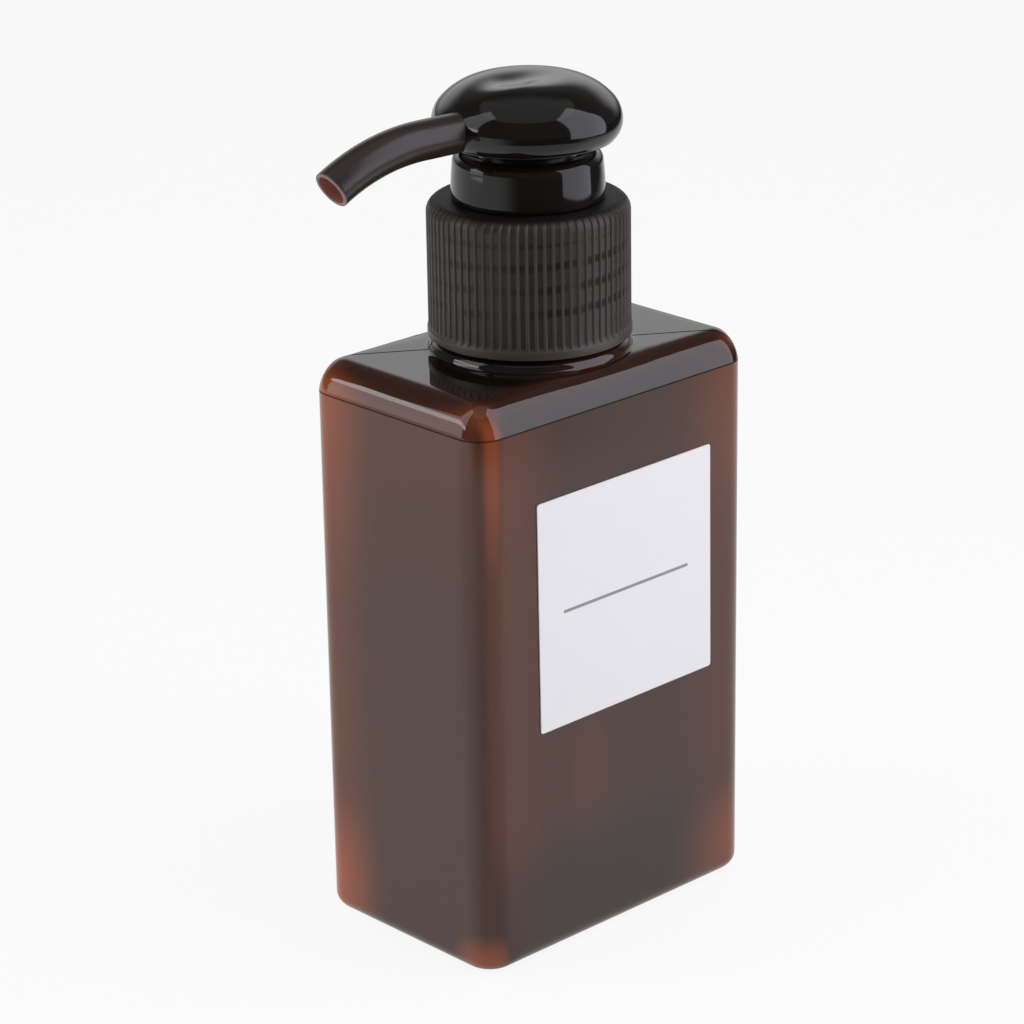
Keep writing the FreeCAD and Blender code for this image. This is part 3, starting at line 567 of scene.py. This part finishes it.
# Pump works inside the bottle
# Brown polypropylene barrel, stem, plunger and ball cage, a soft polyethylene piston and dip tube, a foamed
# gasket and a steel ball, pressed or dropped into one another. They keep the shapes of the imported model.
WORKS_FINISHES = {
    "pump_brown": ((0.10, 0.075, 0.06, 1), (0.07, 0.05, 0.04, 1), 0.40, 0.0003, 0.000006, 0.0),
    "seal_soft": ((0.62, 0.62, 0.60, 1), (0.52, 0.52, 0.50, 1), 0.55, 0.0002, 0.000008, 0.0),
    "gasket_foam": ((0.70, 0.69, 0.65, 1), (0.58, 0.57, 0.53, 1), 0.80, 0.00025, 0.00004, 0.0),
    "ball_steel": ((0.66, 0.66, 0.67, 1), (0.58, 0.58, 0.60, 1), 0.08, 0.0001, 0.000001, 1.0),
    "tube_tinted": ((0.32, 0.22, 0.16, 1), (0.24, 0.16, 0.11, 1), 0.35, 0.0004, 0.000005, 0.0),
}


def plain_finish(name, pale, dark, roughness, grain_size, grain_depth, metal):
    """A moulded or drawn finish: cloudy colour, slightly uneven gloss and a grain with its sizes in metres"""
    material, tree = new_finish(name)
    where = tree.where()
    clouds = tree.noise(where, 90.0, 3.0)
    grain = tree.noise(where, 1.0 / grain_size)
    tree.show(tree.shader(Base_Color=tree.blend(clouds, pale, dark), Roughness=roughness + clouds * 0.08,
                          Metallic=metal, Normal=tree.bump(grain, grain_depth)))
    return material


works = {slot: plain_finish(slot, *finish) for slot, finish in WORKS_FINISHES.items()}
slots = {sub["node"]: sub["material_slot"] for sub in frame["record"]["subparts"]}
for node in ("pump_housing", "piston_stem", "valve_plunger", "ball_cage", "piston_seal", "neck_gasket",
             "check_ball", "dip_tube"):
    frame["nodes"][node].material_slots[0].material = works[slots[node]]

# Return spring
# Drawn steel wire wound between the ball cage and the plunger's seat, pressed together while the head is
# locked down. In the pump its upper end follows the piston, so its turns open as the head comes up; this mesh
# is fixed and keeps one length.
SPRING_FOOT = 62.78
SPRING_RISE = 10.6
SPRING_TURNS = 5.5
SPRING_RADIUS = 4.3
SPRING_WIRE = 0.39
SPRING_STEPS = (40, 10)
WIRE_FINISH = ((0.55, 0.55, 0.55, 1), (0.42, 0.42, 0.43, 1), 0.25, 0.0001, 0.000003, 1.0)

steel = plain_finish("spring_steel", *WIRE_FINISH)
weave = Weave("return_spring")
coil = weave.winding(SPRING_TURNS, SPRING_RADIUS, SPRING_FOOT, SPRING_RISE, SPRING_WIRE, *SPRING_STEPS)
spring = weave.piece("spring", bpy.data.meshes.new("spring_seed"), coil, steel)
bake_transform(spring)
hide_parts("return_spring")

# Screw collar
# Injection-moulded polypropylene cap with a satin skin, ribs for grip that run out on its rounded
# shoulder and a smooth band at the foot. The thread inside shows through as faint darker bands.
# Its flutes and its top plate are darker in colour: painted shade.
COLLAR_FOOT = 82.35
COLLAR_TOP = 101.0
COLLAR_RADIUS = 13.62
COLLAR_SHOULDER = 1.8
COLLAR_BORE = 12.15
COLLAR_OPENING = 9.3
PLATE_BOTTOM = 99.65
BAND_TOP = 83.45
BAND_PROUD = 0.13
BAND_STEP = 0.1
RIB_COUNT = 72
RIB_DEPTH = 0.22
RIB_HALF = (0.12, 0.25, 0.35, 0.45, 0.55, 0.75, 1)
RIB_FLAT = 0.1
RIB_FLANK = 0.4
RIB_FOOT_FADE = 0.6
RIB_END_TURN = 1.15
RIB_END_FADE = 0.35
COLLAR_CREASE = 32
STRONGER_SIDE_TURN = math.radians(-43.0)
SATIN = ((0.052, 0.041, 0.035, 1), (0.062, 0.049, 0.042, 1))
SATIN_FLUTE_SHADE = (0.034, 0.0265, 0.0225, 1)
# dark of the thread's bands, also used as painted shade on the top plate
SATIN_SUNK_AND_SHADE = (0.006, 0.005, 0.0045, 1)


def collar_rib():
    """One rib with its share of the collar's walls, as a strip of loops from side to side"""
    wave = np.array([*(-share for share in RIB_HALF[::-1]), 0, *RIB_HALF])
    turns = wave * math.pi / RIB_COUNT
    flank = np.clip((np.abs(wave) - RIB_FLAT) / RIB_FLANK, 0, 1)
    dip = RIB_DEPTH * flank ** 2 * (3 - 2 * flank)
    band = COLLAR_RADIUS + BAND_PROUD
    outer = [(band - 0.12, COLLAR_FOOT), (band, COLLAR_FOOT + 0.12), (band, BAND_TOP - 0.08),
             (band - 0.03, BAND_TOP), (COLLAR_RADIUS, BAND_TOP + BAND_STEP)]
    spring_line = COLLAR_TOP - COLLAR_SHOULDER
    ribbed = [(COLLAR_RADIUS, BAND_TOP + 0.35), (COLLAR_RADIUS, BAND_TOP + 0.8), (COLLAR_RADIUS, spring_line),
              *arc((COLLAR_RADIUS - COLLAR_SHOULDER, spring_line), COLLAR_SHOULDER, 0, 90, 15)[1:]]
    inner = [(COLLAR_OPENING + 0.15, COLLAR_TOP), (COLLAR_OPENING, COLLAR_TOP - 0.15),
             (COLLAR_OPENING, PLATE_BOTTOM), (COLLAR_BORE, PLATE_BOTTOM), (COLLAR_BORE, COLLAR_FOOT + 0.3),
             (COLLAR_BORE + 0.3, COLLAR_FOOT)]
    strip = []
    for radius, height in outer + ribbed + inner:
        reach = np.full(len(turns), radius)
        if (radius, height) in ribbed:
            turned = math.asin(min(max((height - spring_line) / COLLAR_SHOULDER, 0), 1))
            from_band = min((height - BAND_TOP - BAND_STEP) / RIB_FOOT_FADE, 1)
            from_end = min(max((RIB_END_TURN - turned) / RIB_END_FADE, 0), 1)
            reach -= dip * from_band * from_end
        strip.append(level(reach[:, None] * headings(turns), height))
    across = len(turns)
    faces = []
    for low in range(len(strip)):
        above = (low + 1) % len(strip)
        faces += [(low * across + i, low * across + i + 1, above * across + i + 1, above * across + i)
                  for i in range(across - 1)]
    mesh = bpy.data.meshes.new("collar_rib")
    mesh.from_pydata((np.concatenate(strip) * MM).tolist(), [], faces)
    return mesh


satin, tree = new_finish("collar_satin")
where, across, deep, high = tree.place()
grain = tree.noise(where, 2600.0, 3.0)
clouds = tree.noise(where, 120.0)
round_turn = tree.node("ShaderNodeMath", {"operation": "ARCTAN2"}, {0: deep, 1: across})
bands = (high * (2 * math.pi / (THREAD_PITCH * MM)) - round_turn).sine().fade(0.1, 0.9)
patchy = tree.noise(tree.stretched(where, 0.5), 260.0).fade(0.28, 0.56)
in_flute = abs((round_turn * (RIB_COUNT / (2 * math.pi)) + 0.5).wrap() - 0.5).fade(0.12, 0.25)
# the thread's bands are stronger on the side turned 43 degrees from +X towards -Y
stronger_side = (across * math.cos(STRONGER_SIDE_TURN) + deep * math.sin(STRONGER_SIDE_TURN)).fade(-0.006, 0.008)
inside_thread = bands * patchy * in_flute * high.fade(0.0855, 0.087) * (1 - high.fade(0.0975, 0.0985))
inside_thread = inside_thread * (0.5 + 0.5 * stronger_side)
satin_tone = tree.blend(clouds * 0.5 + grain * 0.5, *SATIN)
# painted shade: the flutes are darker in colour
satin_tone = tree.blend(in_flute * high.fade(0.0836, 0.0842), satin_tone, SATIN_FLUTE_SHADE)
# painted shade: the top plate under the chaplet and dome mostly takes the bands' dark colour
shaded_top_plate = high.fade(0.1002, 0.1009)
skin_side = tree.shader(Base_Color=satin_tone, Roughness=0.33 + grain * 0.10, IOR=1.49,
                        Specular_IOR_Level=0.42, Normal=tree.bump(grain, 0.000008))
sunk_and_shaded_side = tree.shader(Base_Color=SATIN_SUNK_AND_SHADE, Roughness=0.5 + grain * 0.1, Specular_IOR_Level=0.12)
tree.show(tree.mix((inside_thread * 0.75).most(shaded_top_plate * 0.9), skin_side, sunk_and_shaded_side))

weave = Weave("collar_ribs")
count = weave.size("Ribs", RIB_COUNT, "NodeSocketInt")
posts = weave.node("GeometryNodeMeshLine", {"mode": "OFFSET"}, {"Count": count, "Offset": (0, 0, 0)})
number = weave.node("GeometryNodeInputIndex")
share = weave.node("ShaderNodeMath", {"operation": "DIVIDE"}, {0: number, 1: count})
turn = weave.node("ShaderNodeMath", {"operation": "MULTIPLY"}, {0: share, 1: 2 * math.pi})
facing = weave.node("ShaderNodeCombineXYZ", sockets={"Z": turn})
ribs = weave.node("GeometryNodeInstanceOnPoints", sockets={
    "Points": posts, "Instance": weave.start.outputs[0], "Rotation": facing})
collar = weave.piece("collar", collar_rib(), ribs, satin, COLLAR_CREASE)
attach(collar, "collar")
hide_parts("screw_collar")

# Chaplet
# Polished black-brown polypropylene ring snapped on the barrel above the collar. Its wall leans in a little
# towards a rounded top, and its throat guides the stem.
CHAPLET_FOOT = 101.15
CHAPLET_TOP = 107.4
CHAPLET_RADIUS = 10.3
CHAPLET_DRAFT = 0.25
CHAPLET_ROUND = 1.5
CHAPLET_BORE = 8.95
CHAPLET_CEILING = CHAPLET_TOP - 4.2
THROAT = 6.3
THROAT_WALL = 1.0
THROAT_FLOOR = 101.9
THROAT_FLOOR_UNDER = THROAT_FLOOR - 1.6
GUIDE_BORE = 3.26
GUIDE_WALL = 1.5
GUIDE_FOOT = 94.8
SPIN_STEPS = 192
CHAPLET_DARK = ((0.0100, 0.0085, 0.0068, 1), (0.0075, 0.0064, 0.0052, 1))
CHAPLET_SHINE = 0.41


def spun(profile):
    """Closed shell of a profile of radius and height turned about the pump's axis"""
    round_way = headings(np.linspace(0, 2 * math.pi, SPIN_STEPS, endpoint=False))
    return skin([level(round_way * radius, height) for radius, height in profile], True)


def polished(name, pale, dark, shine):
    """Polished pump plastic: deep colour, faint flow marks and a skin that isn't quite flat"""
    material, tree = new_finish(name)
    where = tree.where()
    flow = tree.noise(tree.stretched(where, 0.5), 140.0)
    dust = tree.noise(where, 3800.0, 1.0).fade(0.62, 0.8)
    tree.show(tree.shader(Base_Color=tree.blend(flow, pale, dark), Roughness=0.05 + flow * 0.03 + dust * 0.04,
                          IOR=1.5, Specular_IOR_Level=shine, Normal=tree.bump(flow, 0.000012)))
    return material


wall_height = CHAPLET_TOP - CHAPLET_FOOT - CHAPLET_ROUND
round_middle = (CHAPLET_RADIUS - CHAPLET_DRAFT - CHAPLET_ROUND, CHAPLET_TOP - CHAPLET_ROUND)
leaning_wall = [(CHAPLET_RADIUS - CHAPLET_DRAFT * share ** 2, CHAPLET_FOOT + wall_height * share)
                for share in np.linspace(0.05, 1, 12)]
chaplet_profile = [
    (CHAPLET_RADIUS - 0.25, CHAPLET_FOOT), (CHAPLET_RADIUS - 0.06, CHAPLET_FOOT + 0.06), *leaning_wall,
    *arc(round_middle, CHAPLET_ROUND, 6, 90, 18), (THROAT + 0.2, CHAPLET_TOP - 0.02),
    (THROAT + 0.05, CHAPLET_TOP - 0.1), (THROAT, CHAPLET_TOP - 0.35), (THROAT, THROAT_FLOOR),
    (GUIDE_BORE, THROAT_FLOOR), (GUIDE_BORE, GUIDE_FOOT), (GUIDE_BORE + GUIDE_WALL, GUIDE_FOOT),
    (GUIDE_BORE + GUIDE_WALL, THROAT_FLOOR_UNDER), (THROAT + THROAT_WALL, THROAT_FLOOR_UNDER),
    (THROAT + THROAT_WALL, CHAPLET_CEILING), (CHAPLET_BORE, CHAPLET_CEILING), (CHAPLET_BORE, CHAPLET_FOOT)]
chaplet = new_piece("chaplet", [spun(chaplet_profile)])
chaplet.data.materials.append(polished("chaplet_gloss", *CHAPLET_DARK, CHAPLET_SHINE))
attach(chaplet, "pump_module")
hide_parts("lock_chaplet")

# Head dome
# Polished mushroom cap of black-brown polypropylene, pressed on the spout. A rounded rim runs into a crown of
# two arcs, with a long shallow dish for the thumb in its top.
HEAD_TURN = math.radians(-4.5)
DOME_RADIUS = 12.65
DOME_WALL = 1.3
DOME_RIM = 109.05
EQUATOR = 111.4
CREST = 117.23
RIM_ROUND = 3.2
CAP_SHOULDER = 4.3
CROWN_FLAT = 4.9
DISH_DEPTH = 0.5
DISH_LONG = 7.6
DISH_WIDE = 4.6
DISH_MIDDLE = -3.2
CEILING = CREST - DISH_DEPTH - DOME_WALL
CEILING_RADIUS = 7.8
AXIS_GAP = 0.02
DOME_CREASE = 50
DOME_DARK = ((0.0075, 0.0062, 0.0050, 1), (0.0050, 0.0042, 0.0036, 1))
DOME_SHINE = 0.5

crown_height = CREST - EQUATOR
crown_reach = DOME_RADIUS - CROWN_FLAT - CAP_SHOULDER
crown_round = (crown_reach ** 2 + crown_height ** 2 - CAP_SHOULDER ** 2) / (2 * (crown_height - CAP_SHOULDER))
join = math.degrees(math.atan2(crown_round - crown_height, crown_reach))
rim_turn = math.degrees(math.asin((EQUATOR - DOME_RIM - 0.25) / RIM_ROUND))
inner_radius = DOME_RADIUS - DOME_WALL
rim_radius = DOME_RADIUS - RIM_ROUND + RIM_ROUND * math.cos(math.radians(rim_turn))
dome_profile = [
    (inner_radius, DOME_RIM + 0.2), (inner_radius + 0.15, DOME_RIM + 0.03), (inner_radius + 0.3, DOME_RIM),
    (rim_radius - 0.2, DOME_RIM + 0.05),
    *arc((DOME_RADIUS - RIM_ROUND, EQUATOR), RIM_ROUND, -rim_turn, 0, 14),
    *arc((DOME_RADIUS - CAP_SHOULDER, EQUATOR), CAP_SHOULDER, 0, join, 16)[1:],
    *arc((CROWN_FLAT, CREST - crown_round), crown_round, join, 90, 40)[1:],
    *((radius, CREST) for radius in np.linspace(CROWN_FLAT, AXIS_GAP, 24)[1:]),
    (AXIS_GAP, CEILING), (CEILING_RADIUS, CEILING), (inner_radius, EQUATOR)]
dome_points, dome_faces = spun(dome_profile)
dish_share = np.hypot((dome_points[:, 0] - DISH_MIDDLE) / DISH_LONG, dome_points[:, 1] / DISH_WIDE)
sunk = DISH_DEPTH * (1 + np.cos(math.pi * np.minimum(dish_share, 1))) / 2
dome_points[:, 2] -= np.where(dome_points[:, 2] > CEILING + 0.1, sunk, 0)
dome = new_piece("dome", [(dome_points, dome_faces)], DOME_CREASE)
dome.data.transform(Matrix.Rotation(HEAD_TURN, 4, "Z"))
dome.data.materials.append(polished("dome_gloss", *DOME_DARK, DOME_SHINE))
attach(dome, "head")
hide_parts("head_dome")

# Spout
# Hub over the stem, deck that closes the dome from below, and the nozzle that runs out level and bends down.
# Its polypropylene is a touch softer in gloss than the dome's, and red-brown in the bore, where a painted
# glow stands in for light getting in; the lip at the mouth is paler, a painted highlight.
NOZZLE_AXIS = 111.6
NOZZLE_RADIUS = 2.65
NOZZLE_BORE = 2.1
NOZZLE_START = 8.0
BORE_END = 9.0
NOZZLE_STRAIGHT = 17.6
NOZZLE_BEND = 29.0
NOZZLE_TURN = math.radians(30.2)
NOZZLE_LENGTH = NOZZLE_STRAIGHT + NOZZLE_BEND * NOZZLE_TURN
HUB_FOOT = 102.2
HUB_RADIUS = 6.0
DECK_FOOT = 109.85
DECK_TOP = DECK_FOOT + 1.0
DECK_RADIUS = 11.3
POST_RADIUS = 4.2
POST_TOP = 115.3
EDGE_BREAK = 0.2
ROUND_STEPS = 64
SPOUT_BROWN = ((0.0340, 0.0205, 0.0185, 1), (0.0250, 0.0155, 0.0142, 1))
SPOUT_LIP_HIGHLIGHT = (0.27, 0.20, 0.19, 1)
BORE_GLOW_PAINT = ((0.04, 0.014, 0.009, 1), (0.20, 0.075, 0.052, 1))


def nozzle_station(distance):
    """Middle of the nozzle and the direction across it upwards, at a distance along it"""
    turn = min(max(distance - NOZZLE_STRAIGHT, 0) / NOZZLE_BEND, NOZZLE_TURN)
    straight = min(distance, NOZZLE_STRAIGHT)
    middle = np.array([-straight - NOZZLE_BEND * math.sin(turn), 0,
                       NOZZLE_AXIS - NOZZLE_BEND * (1 - math.cos(turn))])
    return middle, np.array([-math.sin(turn), 0, math.cos(turn)])


def nozzle_ring(distance, radius):
    """Points round the nozzle at a distance along it"""
    middle, upwards = nozzle_station(distance)
    turns = np.linspace(0, 2 * math.pi, ROUND_STEPS, endpoint=False)
    return middle + radius * (np.outer(np.cos(turns), (0, 1, 0)) + np.outer(np.sin(turns), upwards))


outside = [(distance, NOZZLE_RADIUS) for distance in np.linspace(NOZZLE_START, NOZZLE_LENGTH - 0.12, 60)]
lip = [(NOZZLE_LENGTH - 0.04, NOZZLE_RADIUS - 0.04), (NOZZLE_LENGTH, NOZZLE_RADIUS - 0.14),
       (NOZZLE_LENGTH, NOZZLE_BORE + 0.12), (NOZZLE_LENGTH - 0.05, NOZZLE_BORE + 0.03)]
bore = [(distance, NOZZLE_BORE) for distance in np.linspace(NOZZLE_LENGTH - 0.15, BORE_END, 40)]
nozzle = skin([nozzle_ring(distance, radius) for distance, radius in outside + lip + bore])
hub = spun([
    (AXIS_GAP, HUB_FOOT), (HUB_RADIUS - EDGE_BREAK, HUB_FOOT), (HUB_RADIUS, HUB_FOOT + EDGE_BREAK),
    (HUB_RADIUS, DECK_FOOT), (DECK_RADIUS - EDGE_BREAK, DECK_FOOT), (DECK_RADIUS, DECK_FOOT + EDGE_BREAK),
    (DECK_RADIUS, DECK_TOP), (POST_RADIUS, DECK_TOP), (POST_RADIUS, POST_TOP), (AXIS_GAP, POST_TOP)])
spout = new_piece("spout", [nozzle, hub])
spout.data.transform(Matrix.Rotation(HEAD_TURN, 4, "Z"))
head_turned = Matrix.Rotation(HEAD_TURN, 3, "Z")
tip_place = head_turned @ Vector(nozzle_station(NOZZLE_LENGTH)[0]) * MM
tip_way = head_turned @ Vector((-math.cos(NOZZLE_TURN), 0, -math.sin(NOZZLE_TURN)))


def past_tip(across, deep, high):
    """How far a place lies beyond the nozzle's mouth, along the mouth's axis"""
    from_tip = (across - tip_place.x) * tip_way.x + (deep - tip_place.y) * tip_way.y
    return from_tip + (high - tip_place.z) * tip_way.z


outer_finish, tree = new_finish("spout_gloss")
where, across, deep, high = tree.place()
flow = tree.noise(where, 150.0)
# painted highlight: the lip at the nozzle's mouth is painted paler
lip_highlight = past_tip(across, deep, high).fade(-0.00030, -0.00005)
spout_tone = tree.blend(lip_highlight * 0.9, tree.blend(flow, *SPOUT_BROWN), SPOUT_LIP_HIGHLIGHT)
tree.show(tree.shader(Base_Color=spout_tone, Roughness=0.24 + flow * 0.06 + lip_highlight * 0.2, IOR=1.5,
                      Normal=tree.bump(flow, 0.00001)))
spout.data.materials.append(outer_finish)

bore_finish, tree = new_finish("spout_bore")
where, across, deep, high = tree.place()
flow = tree.noise(where, 300.0)
# painted light: the bore glows red-brown near the mouth and fades to dark deeper in
bore_glow_tone = tree.blend(past_tip(across, deep, high).fade(-0.012, 0.0), *BORE_GLOW_PAINT)
tree.show(tree.shader(Base_Color=bore_glow_tone, Roughness=0.3 + flow * 0.1, IOR=1.5, Emission_Color=bore_glow_tone,
                      Emission_Strength=0.25))
spout.data.materials.append(bore_finish)

head_straight = Matrix.Rotation(-HEAD_TURN, 3, "Z")
for face in spout.data.polygons:
    middle = head_straight @ face.center / MM
    outwards = head_straight @ face.normal
    bend_reach = Vector((min(middle.x + NOZZLE_STRAIGHT, 0), 0, middle.z - NOZZLE_AXIS + NOZZLE_BEND))
    off_axis = bend_reach.normalized() * (bend_reach.length - NOZZLE_BEND) + Vector((0, middle.y, 0))
    in_bore = -middle.x > BORE_END and off_axis.length < NOZZLE_BORE + 0.04
    face.material_index = int(in_bore and off_axis.dot(outwards) < 0)
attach(spout, "head")
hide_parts("spout_body")

# Studio
# A pale floor, a pale backdrop behind, a dark room before the object and soft panels standing at its sides.
# Floor and room are darker to reflected rays in some directions, for the dark shapes on the glossy faces.
CAMERA_AZIMUTH = math.radians(-43.30)
CAMERA_RISE = math.radians(20.53)
CAMERA_ROLL = math.radians(-0.925)
CAMERA_AWAY = 0.4978
CAMERA_AIM = (-0.002811, 0.0563)
CAMERA_FOCAL = 3642.0
IMAGE_SIDE = 1024
SENSOR = 36.0
FLOOR_REACH = 3.0
FLOOR_DROP = 0.0003
SHADE_FROM = (0.024, 0.0068)
SHADE_TURN = math.radians(26.0)
FILL = 0.46
WHITE = (1, 1, 1, 1)
COOL = (0.92, 0.90, 1.0)
NEAR_WHITE = (1.0, 0.975, 1.0)


def ray_kinds(tree):
    """1 for a ray from the camera, one off a glossy face and one through a clear face, else 0"""
    camera = tree.node("ShaderNodeLightPath", output="Is Camera Ray")
    outputs = camera.socket.node.outputs
    return camera, Signal(tree, outputs["Is Glossy Ray"]), Signal(tree, outputs["Is Transmission Ray"])


bpy.context.scene.view_settings.view_transform = "Standard"
corners = [(side_x * FLOOR_REACH, side_y * FLOOR_REACH, -FLOOR_DROP)
           for side_x, side_y in ((-1, -1), (1, -1), (1, 1), (-1, 1))]
floor = bpy.data.objects.new("floor", bpy.data.meshes.new("floor"))
floor.data.from_pydata(corners, [], [(0, 1, 2, 3)])
bpy.context.scene.collection.objects.link(floor)
pale, tree = new_finish("floor_pale")
where, across, deep, high = tree.place()
camera_ray, glossy, through = ray_kinds(tree)
toward_camera = across * math.sin(CAMERA_AZIMUTH) - deep * math.cos(CAMERA_AZIMUTH)
leftwards = across * -math.cos(CAMERA_AZIMUTH) - deep * math.sin(CAMERA_AZIMUTH)
lit = tree.node("ShaderNodeBsdfDiffuse", sockets={"Color": (0.86, 0.86, 0.86, 1)})
bright = tree.node("ShaderNodeEmission", sockets={"Color": WHITE, "Strength": 1.0})
unlit = tree.node("ShaderNodeEmission", sockets={"Color": WHITE, "Strength": 0.04})
lifted = tree.mix(camera_ray * 0.9 + (1 - camera_ray) * glossy.most(through) * 0.72, lit, bright)
ahead_by = toward_camera - SHADE_FROM[0]
aside_by = SHADE_FROM[1] - leftwards
reach = (ahead_by * ahead_by + aside_by * aside_by).root()
facing = (ahead_by * math.cos(SHADE_TURN) + aside_by * math.sin(SHADE_TURN)) / reach.most(0.001)
shaded = facing.fade(0.27, 0.84) * (0.25 + 0.75 * reach.fade(0.19, 0.23))
tree.show(tree.mix(glossy * shaded.most(aside_by.fade(0.20, 0.42)), lifted, unlit))
floor.data.materials.append(pale)

world = bpy.data.worlds.new("studio")
bpy.context.scene.world = world
tree = Tree(world)
aside, ahead, above = tree.parts(tree.node("ShaderNodeTexCoord", output="Generated"))
camera_ray, glossy, through = ray_kinds(tree)
away = aside * -math.sin(CAMERA_AZIMUTH) + ahead * math.cos(CAMERA_AZIMUTH)
flat_length = (1 - above * above).most(0.0001).root()
behind = (away / flat_length).fade(0.60, 0.88)
backdrop = 0.06 + 0.12 * (1 - above.fade(0.45, 0.95)) + 0.30 * above.fade(0.80, 0.98)
backdrop = backdrop + 0.78 * above.fade(-0.05, 0.22) * (1 - above.fade(0.34, 0.58))
room = 0.10 + 0.28 * above.fade(0.81, 0.825)
reflected = behind * backdrop + (1 - behind) * room
white_rays = camera_ray.most(through)
strength = white_rays + (1 - white_rays) * (glossy * reflected + (1 - glossy) * FILL)
sky = tree.node("ShaderNodeBackground", sockets={"Color": WHITE, "Strength": strength})
tree.node("ShaderNodeOutputWorld", sockets={"Surface": sky})


def soft_panel(name, azimuth, away_by, nearer, width, foot, head, radiance, colour):
    """A soft light at one side of the object, azimuth in degrees from the camera's, set nearer the camera"""
    lamp = bpy.data.lights.new(name, "AREA")
    lamp.shape = "RECTANGLE"
    lamp.size = width
    lamp.size_y = head - foot
    lamp.energy = radiance * math.pi * width * (head - foot)
    lamp.color = colour
    panel = bpy.data.objects.new(name, lamp)
    turn = CAMERA_AZIMUTH + math.radians(azimuth)
    panel.location = (away_by * math.sin(turn) + nearer * math.sin(CAMERA_AZIMUTH),
                      -away_by * math.cos(turn) - nearer * math.cos(CAMERA_AZIMUTH), (foot + head) / 2)
    panel.rotation_euler = (math.radians(90), 0, turn)
    bpy.context.scene.collection.objects.link(panel)


soft_panel("panel_right", 90.0, 0.27, 0.0725, 0.285, 0.04, 0.62, 1.9, COOL)
soft_panel("panel_left_low", -90.0, 0.27, 0.04, 0.12, 0.070, 0.163, 1.55, NEAR_WHITE)
soft_panel("panel_left_tube", -90.0, 0.27, 0.06, 0.18, 0.163, 0.200, 4.0, NEAR_WHITE)
soft_panel("panel_left_high", -90.0, 0.27, 0.06, 0.16, 0.200, 0.64, 1.30, NEAR_WHITE)

right = Vector((math.cos(CAMERA_AZIMUTH), math.sin(CAMERA_AZIMUTH), 0))
outward = Vector((math.sin(CAMERA_AZIMUTH), -math.cos(CAMERA_AZIMUTH), 0))
back = outward * math.cos(CAMERA_RISE) + Vector((0, 0, math.sin(CAMERA_RISE)))
up = back.cross(right)
rolled_right = right * math.cos(CAMERA_ROLL) + up * math.sin(CAMERA_ROLL)
rolled_up = up * math.cos(CAMERA_ROLL) - right * math.sin(CAMERA_ROLL)
stand = right * CAMERA_AIM[0] + Vector((0, 0, CAMERA_AIM[1])) + back * CAMERA_AWAY
eye = bpy.data.objects.new("camera", bpy.data.cameras.new("camera"))
eye.data.sensor_width = SENSOR
eye.data.sensor_fit = "HORIZONTAL"
eye.data.lens = CAMERA_FOCAL * SENSOR / IMAGE_SIDE
eye.data.clip_start = 0.02
eye.data.clip_end = 20
eye.matrix_world = Matrix((
    (rolled_right.x, rolled_up.x, back.x, stand.x), (rolled_right.y, rolled_up.y, back.y, stand.y),
    (rolled_right.z, rolled_up.z, back.z, stand.z), (0, 0, 0, 1)))
bpy.context.scene.collection.objects.link(eye)
bpy.context.scene.camera = eye
